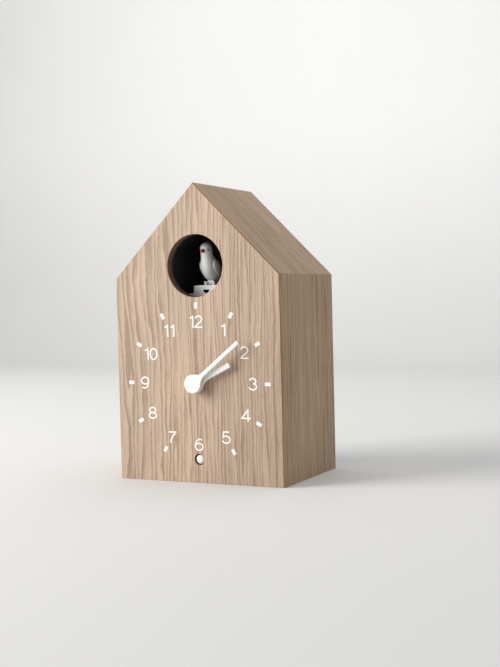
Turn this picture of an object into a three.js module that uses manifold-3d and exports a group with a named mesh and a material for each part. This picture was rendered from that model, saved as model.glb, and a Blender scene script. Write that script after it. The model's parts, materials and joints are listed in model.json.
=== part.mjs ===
// A house-shaped wall cuckoo clock: wooden case, quartz movement, bellows and whistles, and a bird.
// Millimetres. X to the right seen from the front, Y into the wall, Z up.
// The origin is the middle of the case's underside.
import * as THREE from 'three';
import { mergeVertices } from 'three/addons/utils/BufferGeometryUtils.js';
import Module from 'manifold-3d';

const wasm = await Module();
wasm.setup();

// ---- driving sizes: the case ----
const WIDTH = 140;
const DEPTH = 97;
const EAVE_HEIGHT = 155;
const GABLE_RISE = 70;
const FRONT_THICK = 9;
const BOARD_THICK = 8;
const SEAM = 0.3;
const GAP = 0.3;
const RUNNING = 0.1;
const COVER_RECESS = 2.5;
const COVER_THICK = 2.5;
const TOUCH = 0.1;
const CUT_PAST = 1;
const BLOCK_WIDE = 12;
const BLOCK_DEEP = 12;
const RIDGE_BLOCK_WIDE = 18;
const RIDGE_BLOCK_HIGH = 17;
const SCREW_R = 1.5;
const SCREW_HEAD_R = 2.8;
const SCREW_HEAD_THICK = 1.4;
const SCREW_LENGTH = 12;

// ---- driving sizes: dial, hands and movement ----
const DIAL_HEIGHT = 75;
const HOUR_SHOWN = 2;
const MINUTES_SHOWN = 8.55;
const HUB_R = 7;
const HAND_THICK = 2.4;
const MINUTE_HAND_LONG = 50;
const MINUTE_HAND_WIDE = 3.5;
const HOUR_HAND_LONG = 34;
const HOUR_HAND_WIDE = 4.4;
const ARBOR_R = 1.5;
const HOUR_TUBE_R = 2.5;
const BUSH_R = 4;
const BUSH_PROUD = 2.4;
const HOUR_HAND_PROUD = 2.8;
const HAND_SPACE = 0.7;
const HAND_CORNER = 0.8;
const HAND_NECK = 1.15;
const HAND_ARM_START = 1.75;
const HAND_LEAN_DEG = 48;
const HAND_CAP = 0.7;
const PRESS_FIT = 0.05;
const NUT_FLATS = 11;
const WASHER_THICK = 0.4;
const WASHER_MARGIN = 0.8;
const MOVEMENT_SIZE = 56;
const MOVEMENT_DEEP = 16.2;
const MOVEMENT_WALL = 1.5;
const MOTION_MODULE = 0.5;
const TRAIN_MODULE = 0.5;
const WHEEL_THICK = 1.2;
const WHEEL_SPACE = 0.4;
const TRAIN_SPACE = 1;
const TOOTH_TIP = 0.75;
const TOOTH_ROOT = 1.15;
const TOOTH_TIP_SHARE = 0.11;
const TOOTH_ROOT_SHARE = 0.27;
const THIRD_ANGLE_DEG = 225;
const WHEEL_POST_R = 0.9;
const TRAIN_POST_R = 0.7;
const ROTOR_MAGNET_R = 3;
const COIL_R = 4;
const COIL_PLATE_THICK = 1;
const COIL_PLATE_REACH = 5;

// ---- driving sizes: bird hole, chamber and bird ----
const HOLE_ABOVE_EAVE = 8;
const HOLE_R = 23.5;
const CHAMBER_DEEP = 51;
const CHAMBER_WALL = 1.5;
const CHAMBER_SPACE = 3;
const CHAMBER_ROOF_SPACE = 6;
const DECK_BACK = 17;
const DECK_WIDE = 21.6;
const DECK_FOOT_WIDE = 31;
const DECK_LONG = 26.5;
const DECK_STEP = 2.7;
const DECK_THICK = 8.6;
const NOTCH_R = 2.7;
const NOTCH_DEEP = 4;
const NOTCH_HEIGHT = 5.3;
const EARS_BACK = 22;
const EAR_WIDE = 1.6;
const EAR_LONG = 7;
const EAR_HIGH = 3;
const TONGUE_WIDE = 4.8;
const PIN_R = 0.75;
const PIN_FIT = 0.03;
const PIN_ABOVE_DECK = 1.9;
const BIRD_HIGH = 28.4;
const BIRD_ABOVE_EARS = 1.3;
const BEAK_SHARE = 0.76;
const BEAK_BACK = 13.1;
const BEAK_R = 1.5;
const BIRD_ARM_LONG = 10;
const WIRE_R = 0.7;

// ---- driving sizes: sensor ----
const SENSOR_HEIGHT = 17.7;
const SENSOR_HOLE_R = 4.25;
const SENSOR_LENS_R = 3.6;
const SENSOR_BACK = 1.2;

// ---- driving sizes: whistles, bellows and strike train ----
const PIPE_SIZE = 20;
const PIPE_WALL = 2;
const LOW_PIPE_LONG = 64.5;
const HIGH_PIPE_LONG = 54.5;
const PIPE_SPACE = 2;
const PIPE_FLOOR_SPACE = 1.5;
const BELLOWS_WIDE = 22;
const BELLOWS_LONG = 46;
const BELLOWS_BOARD = 3;
const BELLOWS_FOLD = 7.7;
const TAB_WIDE = 6;
const TAB_LONG = 6;
const LEVER_PIVOT_X = 12;
const LEVER_TIP_R = 1.5;
const LEVER_HALF = 2;
const LEVER_THICK = 4;
const LEVER_HUB_R = 3.2;
const POST_R = 1.5;
const CAM_LOBE_R = 12;
const CAM_SPACE = 2.8;
const STRIKE_WHEEL_THICK = 1.4;
const MOTOR_SHAFT_R = 1;
const MOTOR_BOSS_R = 3;
const STRIKE_MODULE = 0.75;
const FRAME_BEHIND_LEVERS = 10;
const FRAME_THICK = 2;
const MOTOR_R = 10;
const MOTOR_LONG = 25;

// ---- driving sizes: power and controls ----
const BAY_WIDE = 60;
const BAY_HIGH = 46;
const BAY_DEEP = 17;
const TRAY_WALL = 1.5;
const DOOR_MARGIN = 1;
const DOOR_CLEAR = 0.4;
const CONTACT_THICK = 0.5;
const CELL_R = 7.25;
const KNOB_R = 7;
const KNOB_LONG = 7;
const KNOB_CLEAR = 0.5;
const SWITCH_X = -22;
const CONTROL_HEIGHT = 80;
const SWITCH_TRAVEL = 3;
const SWITCH_KNOB = 4;
const SWITCH_TALL = 3;
const BUTTON_X = -4;
const BUTTON_R = 2.5;
const BUTTON_TRAVEL = 1.5;
const BOARD_SPACE = 13.2;
const PCB_THICK = 1.6;
const KEYHOLE_BELOW_RIDGE = 36;
const KEYHOLE_R = 4.8;
const KEYHOLE_SLOT_R = 2.4;
const KEYHOLE_RISE = 9;
const KEYHOLE_COVER_MARGIN = 1.2;
const HANGER_THICK = 1;
const HANGER_WIDE = 20;
const HANGER_BELOW = 8;
const HANGER_ABOVE = 5;
const SOUND_SLOTS = 5;
const SOUND_SLOT_HEIGHT = 104;
const SOUND_SLOT_PITCH = 7;
const SOUND_SLOT_X = 36;
const SOUND_SLOT_LONG = 28;
const SOUND_SLOT_TALL = 2.6;

// ---- places that follow from them ----
const FRONT = -DEPTH / 2;
const BACK = DEPTH / 2;
const PANEL_BACK = FRONT + FRONT_THICK;
const COVER_OUT = BACK - COVER_RECESS;
const COVER_IN = COVER_OUT - COVER_THICK;
const INSIDE_BACK = COVER_IN - GAP;
const INSIDE_X = WIDTH / 2 - BOARD_THICK;
const RIDGE_HEIGHT = EAVE_HEIGHT + GABLE_RISE;
const HOLE_HEIGHT = EAVE_HEIGHT + HOLE_ABOVE_EAVE;
const BOARD_FRONT = INSIDE_BACK - BOARD_SPACE;

// ---- colours ----
const finishes = {
  ash: { color: 0xc9ad8c, roughness: 0.6, metalness: 0 },
  white: { color: 0xf0efe9, roughness: 0.45, metalness: 0 },
  black: { color: 0x161618, roughness: 0.5, metalness: 0 },
  grey: { color: 0x8d9092, roughness: 0.5, metalness: 0 },
  red: { color: 0x9c1030, roughness: 0.4, metalness: 0 },
  steel: { color: 0xb4b6b8, roughness: 0.35, metalness: 1 },
  brass: { color: 0xc7a25a, roughness: 0.35, metalness: 1 },
  nylon: { color: 0xe6e2d6, roughness: 0.5, metalness: 0 },
  cloth: { color: 0x3b3532, roughness: 0.9, metalness: 0 },
  pine: { color: 0xd9c199, roughness: 0.7, metalness: 0 },
  board: { color: 0x2f6b46, roughness: 0.5, metalness: 0 },
};

// ---- solids ----
function outward(geometry) {
  const p = geometry.getAttribute('position');
  const index = geometry.getIndex().array;
  const a = new THREE.Vector3();
  const b = new THREE.Vector3();
  const c = new THREE.Vector3();
  let volume = 0;
  for (let i = 0; i < index.length; i += 3) {
    a.fromBufferAttribute(p, index[i]);
    b.fromBufferAttribute(p, index[i + 1]);
    c.fromBufferAttribute(p, index[i + 2]);
    volume += a.dot(b.cross(c));
  }
  if (volume < 0) {
    for (let i = 0; i < index.length; i += 3) {
      [index[i], index[i + 1]] = [index[i + 1], index[i]];
    }
  }
  return geometry;
}

function plain(geometry) {
  const bare = geometry.clone();
  bare.deleteAttribute('normal');
  bare.deleteAttribute('uv');
  const merged = mergeVertices(bare, 1e-4);
  const index = merged.getIndex().array;
  const kept = [];
  for (let i = 0; i < index.length; i += 3) {
    const [a, b, c] = [index[i], index[i + 1], index[i + 2]];
    if (a !== b && b !== c && c !== a) {
      kept.push(a, b, c);
    }
  }
  merged.setIndex(kept);
  return outward(merged);
}

function toSolid(geometry) {
  const merged = plain(geometry);
  return new wasm.Manifold(new wasm.Mesh({
    numProp: 3,
    vertProperties: new Float32Array(merged.getAttribute('position').array),
    triVerts: new Uint32Array(merged.getIndex().array),
  }));
}

function toGeometry(solid) {
  const mesh = solid.getMesh();
  const geometry = new THREE.BufferGeometry();
  geometry.setAttribute('position', new THREE.BufferAttribute(new Float32Array(mesh.vertProperties), 3));
  geometry.setIndex(Array.from(mesh.triVerts));
  geometry.computeVertexNormals();
  return geometry;
}

function join(...geometries) {
  return toGeometry(geometries.map(toSolid).reduce((whole, next) => whole.add(next)));
}

function cut(geometry, ...cutters) {
  return toGeometry(cutters.map(toSolid).reduce((whole, next) => whole.subtract(next), toSolid(geometry)));
}

// A box between two corners.
function box(x0, x1, y0, y1, z0, z1) {
  const geometry = new THREE.BoxGeometry(x1 - x0, y1 - y0, z1 - z0);
  return geometry.translate((x0 + x1) / 2, (y0 + y1) / 2, (z0 + z1) / 2);
}

// A round bar along Y, X or Z.
function barY(r, y0, y1, x = 0, z = 0, sides = 24) {
  return new THREE.CylinderGeometry(r, r, y1 - y0, sides).translate(x, (y0 + y1) / 2, z);
}

function barX(r, x0, x1, y, z, sides = 24) {
  const geometry = new THREE.CylinderGeometry(r, r, x1 - x0, sides).rotateZ(Math.PI / 2);
  return geometry.translate((x0 + x1) / 2, y, z);
}

function barZ(r, z0, z1, x, y, sides = 16) {
  const geometry = new THREE.CylinderGeometry(r, r, z1 - z0, sides).rotateX(Math.PI / 2);
  return geometry.translate(x, y, (z0 + z1) / 2);
}

// An outline in the X-Z plane carried from y0 to y1.
function slab(shape, y0, y1, curveSegments = 12) {
  const geometry = new THREE.ExtrudeGeometry(shape, { depth: y1 - y0, bevelEnabled: false, curveSegments });
  return geometry.rotateX(Math.PI / 2).translate(0, y1, 0);
}

function outline(points) {
  return new THREE.Shape(points.map(([x, z]) => new THREE.Vector2(x, z)));
}

// Skin over a row of loops with the same number of points, closed at both ends.
function loft(loops) {
  const count = loops[0].length;
  const positions = loops.flat(2);
  const index = [];
  for (let row = 0; row < loops.length - 1; row += 1) {
    for (let i = 0; i < count; i += 1) {
      const j = (i + 1) % count;
      const [a, b] = [row * count + i, row * count + j];
      const [c, d] = [a + count, b + count];
      index.push(a, b, d, a, d, c);
    }
  }
  const last = (loops.length - 1) * count;
  for (let i = 1; i < count - 1; i += 1) {
    index.push(0, i + 1, i, last, last + i, last + i + 1);
  }
  const geometry = new THREE.BufferGeometry();
  geometry.setAttribute('position', new THREE.Float32BufferAttribute(positions, 3));
  geometry.setIndex(index);
  return outward(geometry);
}

function part(name, geometry, finish, place = [0, 0, 0]) {
  const mesh = new THREE.Mesh(geometry, new THREE.MeshStandardMaterial(finishes[finish]));
  mesh.name = name;
  mesh.position.set(...place);
  return mesh;
}

// ---- the case ----
const gable = [
  [-WIDTH / 2, 0],
  [WIDTH / 2, 0],
  [WIDTH / 2, EAVE_HEIGHT],
  [0, RIDGE_HEIGHT],
  [-WIDTH / 2, EAVE_HEIGHT],
];

// The outline moved inwards by a distance, corner by corner.
function inset(points, distance) {
  return points.map((point, i) => {
    const before = points[(i + points.length - 1) % points.length];
    const after = points[(i + 1) % points.length];
    const n1 = new THREE.Vector2(before[1] - point[1], point[0] - before[0]).normalize();
    const n2 = new THREE.Vector2(point[1] - after[1], after[0] - point[0]).normalize();
    const share = distance / (1 + n1.dot(n2));
    return [point[0] + (n1.x + n2.x) * share, point[1] + (n1.y + n2.y) * share];
  });
}

const insideGable = inset(gable, BOARD_THICK);
const ROOF_INSIDE = insideGable[3][1];

// Height of the roof's inner face at a distance from the middle.
function roofInside(x) {
  const slope = (insideGable[3][1] - insideGable[2][1]) / insideGable[2][0];
  return ROOF_INSIDE - slope * Math.abs(x);
}

function frontPanel() {
  const back = inset(gable, BOARD_THICK + SEAM);
  const body = loft([
    gable.map(([x, z]) => [x, FRONT, z]),
    back.map(([x, z]) => [x, PANEL_BACK, z]),
  ]);
  return cut(
    body,
    barY(HOLE_R, FRONT - CUT_PAST, PANEL_BACK + CUT_PAST, 0, HOLE_HEIGHT, 64),
    barY(BUSH_R + GAP, FRONT - CUT_PAST, PANEL_BACK + CUT_PAST, 0, DIAL_HEIGHT, 32),
    barY(SENSOR_HOLE_R, FRONT - CUT_PAST, PANEL_BACK + CUT_PAST, 0, SENSOR_HEIGHT, 32),
  );
}

// One board of the shell, mitred to its neighbours and to the front panel.
function shellBoard(i) {
  const j = (i + 1) % gable.length;
  const [a, b, c, d] = [gable[i], gable[j], insideGable[j], insideGable[i]];
  const along = new THREE.Vector2(b[0] - a[0], b[1] - a[1]).normalize();
  const trim = (point, step) => [point[0] + along.x * step, point[1] + along.y * step];
  const corners = [trim(a, SEAM / 2), trim(b, -SEAM / 2), trim(c, -SEAM / 2), trim(d, SEAM / 2)];
  const frontY = [FRONT + SEAM, FRONT + SEAM, PANEL_BACK + SEAM, PANEL_BACK + SEAM];
  return loft([
    corners.map(([x, z], k) => [x, frontY[k], z]),
    corners.map(([x, z]) => [x, BACK, z]),
  ]);
}

const BLOCK_Z = BOARD_THICK + GAP;
const BLOCK_X = INSIDE_X - GAP - BLOCK_WIDE / 2;
const RIDGE_BLOCK_Z = ROOF_INSIDE - RIDGE_BLOCK_HIGH;
const KEYHOLE_Z = ROOF_INSIDE - KEYHOLE_BELOW_RIDGE;
const screwPlaces = {
  left_cover_screw: [-BLOCK_X, BLOCK_Z + BLOCK_WIDE / 2],
  right_cover_screw: [BLOCK_X, BLOCK_Z + BLOCK_WIDE / 2],
  top_cover_screw: [0, RIDGE_BLOCK_Z + BLOCK_WIDE / 2],
};

function screwPilot(x, z) {
  return barY(SCREW_R + RUNNING, INSIDE_BACK - BLOCK_DEEP - CUT_PAST, COVER_OUT + CUT_PAST, x, z, 16);
}

function glueBlock(x, z) {
  const body = box(
    x - BLOCK_WIDE / 2, x + BLOCK_WIDE / 2,
    INSIDE_BACK - BLOCK_DEEP, INSIDE_BACK,
    z - BLOCK_WIDE / 2, z + BLOCK_WIDE / 2,
  );
  return cut(body, screwPilot(x, z));
}

function ridgeBlock() {
  const half = RIDGE_BLOCK_WIDE / 2;
  const top = roofInside(half) - GAP * Math.SQRT2;
  const shape = outline([
    [-half, RIDGE_BLOCK_Z],
    [half, RIDGE_BLOCK_Z],
    [half, top],
    [0, ROOF_INSIDE - GAP * Math.SQRT2],
    [-half, top],
  ]);
  const [x, z] = screwPlaces.top_cover_screw;
  return cut(slab(shape, INSIDE_BACK - BLOCK_DEEP, INSIDE_BACK), screwPilot(x, z));
}

function coverScrew(x, z) {
  return join(
    barY(SCREW_R, COVER_OUT - SCREW_LENGTH, COVER_OUT + SCREW_HEAD_THICK / 2, x, z, 12),
    barY(SCREW_HEAD_R, COVER_OUT + TOUCH, COVER_OUT + TOUCH + SCREW_HEAD_THICK, x, z, 20),
  );
}

// ---- the movement ----
const MOVEMENT_FRONT = PANEL_BACK + GAP;
const MOVEMENT_BACK = MOVEMENT_FRONT + MOVEMENT_DEEP;
const MOVEMENT_SPLIT = MOVEMENT_FRONT + MOVEMENT_DEEP / 2;
const HOUR_LAYER = MOVEMENT_FRONT + MOVEMENT_WALL + WHEEL_SPACE;
const MOTION_LAYER = HOUR_LAYER + WHEEL_THICK + 2 * WHEEL_SPACE;
const CENTRE_LAYER = MOTION_LAYER + WHEEL_THICK + TRAIN_SPACE + 0.3;
const THIRD_LAYER = CENTRE_LAYER + WHEEL_THICK + TRAIN_SPACE;
const CANNON_TEETH = 10;
const MINUTE_WHEEL_TEETH = 30;
const MINUTE_PINION_TEETH = 8;
const HOUR_TEETH = 32;
const CENTRE_TEETH = 48;
const THIRD_PINION_TEETH = 8;
const THIRD_TEETH = 38;
const ROTOR_TEETH = 8;
const MOTION_DISTANCE = MOTION_MODULE * (CANNON_TEETH + MINUTE_WHEEL_TEETH) / 2;
const minuteWheelAt = [MOTION_DISTANCE, DIAL_HEIGHT];
const settingAt = [2 * MOTION_DISTANCE, DIAL_HEIGHT];
const THIRD_DISTANCE = TRAIN_MODULE * (CENTRE_TEETH + THIRD_PINION_TEETH) / 2;
const THIRD_ANGLE = THREE.MathUtils.degToRad(THIRD_ANGLE_DEG);
const thirdAt = [
  THIRD_DISTANCE * Math.cos(THIRD_ANGLE),
  DIAL_HEIGHT + THIRD_DISTANCE * Math.sin(THIRD_ANGLE),
];
const ROTOR_DISTANCE = TRAIN_MODULE * (THIRD_TEETH + ROTOR_TEETH) / 2;
const rotorAt = [thirdAt[0] - ROTOR_DISTANCE, thirdAt[1]];

// Toothed outline: a tooth's middle points along the phase angle.
function gearShape(teeth, module, phase, bore) {
  const pitchR = module * teeth / 2;
  const tipR = pitchR + TOOTH_TIP * module;
  const rootR = pitchR - TOOTH_ROOT * module;
  const step = 2 * Math.PI / teeth;
  const flank = [
    [rootR, -TOOTH_ROOT_SHARE],
    [tipR, -TOOTH_TIP_SHARE],
    [tipR, TOOTH_TIP_SHARE],
    [rootR, TOOTH_ROOT_SHARE],
  ];
  const points = [];
  for (let k = 0; k < teeth; k += 1) {
    const middle = phase + k * step;
    for (const [r, share] of flank) {
      points.push([r * Math.cos(middle + share * step), r * Math.sin(middle + share * step)]);
    }
  }
  const shape = outline(points);
  if (bore > 0) {
    shape.holes.push(new THREE.Path().absarc(0, 0, bore, 0, 2 * Math.PI, true));
  }
  return shape;
}

// Phase that puts a driven gear in mesh with its driver, which lies at the far end of the given angle.
function meshPhase(angle, driverTeeth, driverPhase, teeth) {
  const step = 2 * Math.PI / driverTeeth;
  const behind = (((angle - driverPhase) % step) + step) % step;
  return angle + Math.PI + behind * driverTeeth / teeth + Math.PI / teeth;
}

function gear(teeth, module, phase, y0, thick, bore = 0) {
  return slab(gearShape(teeth, module, phase, bore), y0, y0 + thick, 6);
}

function movementCase(y0, y1, openSide) {
  const half = MOVEMENT_SIZE / 2;
  const wall = MOVEMENT_WALL;
  const outer = box(-half, half, y0, y1, DIAL_HEIGHT - half, DIAL_HEIGHT + half);
  const [in0, in1] = openSide === 'back' ? [y0 + wall, y1 + 1] : [y0 - 1, y1 - wall];
  const inner = box(
    -half + wall, half - wall, in0, in1,
    DIAL_HEIGHT - half + wall, DIAL_HEIGHT + half - wall,
  );
  return cut(outer, inner);
}

function movementFront() {
  const shell = movementCase(MOVEMENT_FRONT, MOVEMENT_SPLIT - GAP / 2, 'back');
  const bush = barY(BUSH_R, FRONT - BUSH_PROUD, MOVEMENT_FRONT + 1, 0, DIAL_HEIGHT, 32);
  const inside = MOVEMENT_FRONT + MOVEMENT_WALL / 2;
  const post = barY(WHEEL_POST_R, inside, MOTION_LAYER + WHEEL_THICK + 0.2, ...minuteWheelAt, 16);
  const bore = barY(
    HOUR_TUBE_R + RUNNING, FRONT - BUSH_PROUD - 1, MOVEMENT_FRONT + MOVEMENT_WALL + 0.2,
    0, DIAL_HEIGHT, 32,
  );
  return cut(join(shell, bush, post), bore);
}

function movementBack() {
  const shell = movementCase(MOVEMENT_SPLIT + GAP / 2, MOVEMENT_BACK, 'front');
  const inside = MOVEMENT_BACK - MOVEMENT_WALL;
  const third = barY(TRAIN_POST_R, CENTRE_LAYER - 0.2, inside + 0.5, ...thirdAt, 16);
  const rotor = barY(TRAIN_POST_R, THIRD_LAYER - 0.2, inside + 0.5, ...rotorAt, 16);
  const bearing = barY(ARBOR_R + 1.2, inside - 2, inside + 0.5, 0, DIAL_HEIGHT);
  return cut(
    join(shell, third, rotor, bearing),
    barY(ARBOR_R + RUNNING, inside - 3, inside + 0.2, 0, DIAL_HEIGHT, 24),
    barY(ARBOR_R + GAP, inside - 1, MOVEMENT_BACK + 1, ...settingAt, 24),
  );
}

const NUT_BACK = FRONT - WASHER_THICK - 2 * TOUCH;
const NUT_THICK = BUSH_PROUD - WASHER_THICK - 4 * TOUCH;

function washer() {
  const ring = new THREE.Shape().absarc(0, 0, NUT_FLATS / 2 + WASHER_MARGIN, 0, 2 * Math.PI, false);
  ring.holes.push(new THREE.Path().absarc(0, 0, BUSH_R + RUNNING, 0, 2 * Math.PI, true));
  return slab(ring, FRONT - TOUCH - WASHER_THICK, FRONT - TOUCH, 16);
}

function nut() {
  const corner = NUT_FLATS / Math.sqrt(3);
  const points = Array.from({ length: 6 }, (_, k) => [
    corner * Math.cos(k * Math.PI / 3),
    corner * Math.sin(k * Math.PI / 3),
  ]);
  const shape = outline(points);
  shape.holes.push(new THREE.Path().absarc(0, 0, BUSH_R + RUNNING, 0, 2 * Math.PI, true));
  return slab(shape, NUT_BACK - NUT_THICK, NUT_BACK, 16);
}

const HOUR_HAND_BACK = FRONT - HOUR_HAND_PROUD;
const HOUR_HAND_FRONT = HOUR_HAND_BACK - HAND_THICK;
const MINUTE_HAND_BACK = HOUR_HAND_FRONT - HAND_SPACE;
const MINUTE_HAND_FRONT = MINUTE_HAND_BACK - HAND_THICK;

const cannonPhase = 0;
const minuteWheelPhase = meshPhase(0, CANNON_TEETH, cannonPhase, MINUTE_WHEEL_TEETH);
const minutePinionPhase = 0;
const hourPhase = meshPhase(Math.PI, MINUTE_PINION_TEETH, minutePinionPhase, HOUR_TEETH);
const settingPhase = meshPhase(0, MINUTE_WHEEL_TEETH, minuteWheelPhase, CANNON_TEETH);
const centrePhase = 0;
const thirdPinionPhase = meshPhase(THIRD_ANGLE, CENTRE_TEETH, centrePhase, THIRD_PINION_TEETH);
const thirdPhase = 0;
const rotorPhase = meshPhase(Math.PI, THIRD_TEETH, thirdPhase, ROTOR_TEETH);

function minuteArbor() {
  return join(
    barY(ARBOR_R, MINUTE_HAND_FRONT + HAND_CAP + TOUCH, MOVEMENT_BACK - MOVEMENT_WALL - TOUCH, 0, 0, 24),
    gear(CANNON_TEETH, MOTION_MODULE, cannonPhase, MOTION_LAYER, WHEEL_THICK),
    gear(CENTRE_TEETH, TRAIN_MODULE, centrePhase, CENTRE_LAYER, WHEEL_THICK),
  );
}

function hourWheel() {
  const tube = barY(HOUR_TUBE_R, HOUR_HAND_FRONT + 0.2, HOUR_LAYER + 0.2, 0, 0, 32);
  return cut(
    join(tube, gear(HOUR_TEETH, MOTION_MODULE, hourPhase, HOUR_LAYER, WHEEL_THICK)),
    barY(ARBOR_R + RUNNING, HOUR_HAND_FRONT - 1, HOUR_LAYER + WHEEL_THICK + 1, 0, 0, 24),
  );
}

function minuteWheel() {
  return cut(
    join(
      gear(MINUTE_PINION_TEETH, MOTION_MODULE, minutePinionPhase, HOUR_LAYER, WHEEL_THICK),
      barY(WHEEL_POST_R + 0.5, HOUR_LAYER + 0.2, MOTION_LAYER + 0.2, 0, 0, 16),
      gear(MINUTE_WHEEL_TEETH, MOTION_MODULE, minuteWheelPhase, MOTION_LAYER, WHEEL_THICK),
    ),
    barY(WHEEL_POST_R + RUNNING, HOUR_LAYER - 1, MOTION_LAYER + WHEEL_THICK + 1, 0, 0, 16),
  );
}

function thirdWheel() {
  return cut(
    join(
      gear(THIRD_PINION_TEETH, TRAIN_MODULE, thirdPinionPhase, CENTRE_LAYER, WHEEL_THICK),
      barY(TRAIN_POST_R + 0.45, CENTRE_LAYER + 0.2, THIRD_LAYER + 0.2, 0, 0, 16),
      gear(THIRD_TEETH, TRAIN_MODULE, thirdPhase, THIRD_LAYER, WHEEL_THICK),
    ),
    barY(TRAIN_POST_R + RUNNING, CENTRE_LAYER - 1, THIRD_LAYER + WHEEL_THICK + 1, 0, 0, 16),
  );
}

const MAGNET_Y = THIRD_LAYER + WHEEL_THICK + WHEEL_SPACE;
const MAGNET_LONG = MOVEMENT_BACK - MOVEMENT_WALL - WHEEL_SPACE - MAGNET_Y;

function rotor() {
  return cut(
    join(
      gear(ROTOR_TEETH, TRAIN_MODULE, rotorPhase, THIRD_LAYER, WHEEL_THICK),
      barY(TRAIN_POST_R + 0.45, THIRD_LAYER + 0.2, MAGNET_Y + 0.2, 0, 0, 16),
      barY(ROTOR_MAGNET_R, MAGNET_Y, MAGNET_Y + MAGNET_LONG),
    ),
    barY(TRAIN_POST_R + RUNNING, THIRD_LAYER - 1, MAGNET_Y + MAGNET_LONG + 1, 0, 0, 16),
  );
}

function stepperCoil() {
  const [x, z] = rotorAt;
  const left = -MOVEMENT_SIZE / 2 + MOVEMENT_WALL + GAP;
  const right = x + COIL_PLATE_REACH;
  const top = DIAL_HEIGHT + MOVEMENT_SIZE / 2 - MOVEMENT_WALL - GAP;
  const y0 = MAGNET_Y + 0.2;
  const plate = box(left, right, y0, y0 + COIL_PLATE_THICK, z - COIL_PLATE_REACH, top);
  const coil = barZ(COIL_R, z + 9, top - 1, (left + right) / 2, MAGNET_Y - COIL_R / 2, 20);
  return cut(
    join(plate, coil),
    barY(ROTOR_MAGNET_R + 0.5, MAGNET_Y - 2, MAGNET_Y + 3, x, z, 24),
  );
}

// ---- the hands ----
// Round hub drawn in to a straight arm with a squared end.
function handShape(length, width) {
  const half = width / 2;
  const corner = HAND_CORNER;
  const lean = THREE.MathUtils.degToRad(HAND_LEAN_DEG);
  const arm = HUB_R * HAND_ARM_START;
  const neck = HUB_R * HAND_NECK;
  const shape = new THREE.Shape();
  shape.moveTo(half, arm);
  shape.lineTo(half, length - corner);
  shape.quadraticCurveTo(half, length, half - corner, length);
  shape.lineTo(corner - half, length);
  shape.quadraticCurveTo(-half, length, -half, length - corner);
  shape.lineTo(-half, arm);
  shape.quadraticCurveTo(-half, neck, -HUB_R * Math.sin(lean), HUB_R * Math.cos(lean));
  shape.absarc(0, 0, HUB_R, Math.PI / 2 + lean, 2.5 * Math.PI - lean, false);
  shape.quadraticCurveTo(half, neck, half, arm);
  return shape;
}

function hand(length, width, y0, y1, boreR, boreFrom, boreTo, angle) {
  const blank = slab(handShape(length, width), y0, y1, 10);
  return cut(blank, barY(boreR, boreFrom, boreTo, 0, 0, 32)).rotateY(angle);
}

const minuteAngle = (MINUTES_SHOWN / 60) * 2 * Math.PI;
const hourAngle = ((HOUR_SHOWN + MINUTES_SHOWN / 60) / 12) * 2 * Math.PI;

function minuteHand() {
  return hand(
    MINUTE_HAND_LONG, MINUTE_HAND_WIDE, MINUTE_HAND_FRONT, MINUTE_HAND_BACK,
    ARBOR_R + PRESS_FIT, MINUTE_HAND_FRONT + HAND_CAP, MINUTE_HAND_BACK + CUT_PAST, minuteAngle,
  );
}

function hourHand() {
  return hand(
    HOUR_HAND_LONG, HOUR_HAND_WIDE, HOUR_HAND_FRONT, HOUR_HAND_BACK,
    HOUR_TUBE_R + PRESS_FIT, HOUR_HAND_FRONT - CUT_PAST, HOUR_HAND_BACK + CUT_PAST, hourAngle,
  );
}

// ---- bird chamber, deck and bird ----
const CHAMBER_FRONT = PANEL_BACK + GAP;
const CHAMBER_BACK = CHAMBER_FRONT + CHAMBER_DEEP;
const CHAMBER_FLOOR = HOLE_HEIGHT - HOLE_R;
const CHAMBER_HALF = HOLE_R + CHAMBER_SPACE + CHAMBER_WALL;
const CHAMBER_TOP = roofInside(CHAMBER_HALF / 2) - CHAMBER_ROOF_SPACE;
const CHAMBER_SHOULDER = roofInside(CHAMBER_HALF) - CHAMBER_ROOF_SPACE;

function chamberOutline(wall) {
  return outline(inset([
    [-CHAMBER_HALF, CHAMBER_FLOOR - CHAMBER_WALL],
    [CHAMBER_HALF, CHAMBER_FLOOR - CHAMBER_WALL],
    [CHAMBER_HALF, CHAMBER_SHOULDER],
    [CHAMBER_HALF / 2, CHAMBER_TOP],
    [-CHAMBER_HALF / 2, CHAMBER_TOP],
    [-CHAMBER_HALF, CHAMBER_SHOULDER],
  ], wall));
}

const DECK_FRONT = FRONT + DECK_BACK;
const DECK_BOTTOM = CHAMBER_FLOOR + GAP;
const DECK_TOP = DECK_BOTTOM + DECK_THICK;
const DECK_REAR = DECK_FRONT + DECK_LONG;
const EAR_FRONT = FRONT + EARS_BACK;
const pivotAt = [EAR_FRONT + EAR_LONG / 2, DECK_TOP + PIN_ABOVE_DECK];
const WIRE_Y = pivotAt[0] + BIRD_ARM_LONG;

function wireHole(z0, z1) {
  return barZ(WIRE_R + 0.4, z0, z1, 0, WIRE_Y, 16);
}

function birdChamber() {
  return cut(
    slab(chamberOutline(0), CHAMBER_FRONT, CHAMBER_BACK),
    slab(chamberOutline(CHAMBER_WALL), CHAMBER_FRONT - 1, CHAMBER_BACK - CHAMBER_WALL),
    wireHole(CHAMBER_FLOOR - CHAMBER_WALL - 1, CHAMBER_FLOOR + 1),
  );
}

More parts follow.
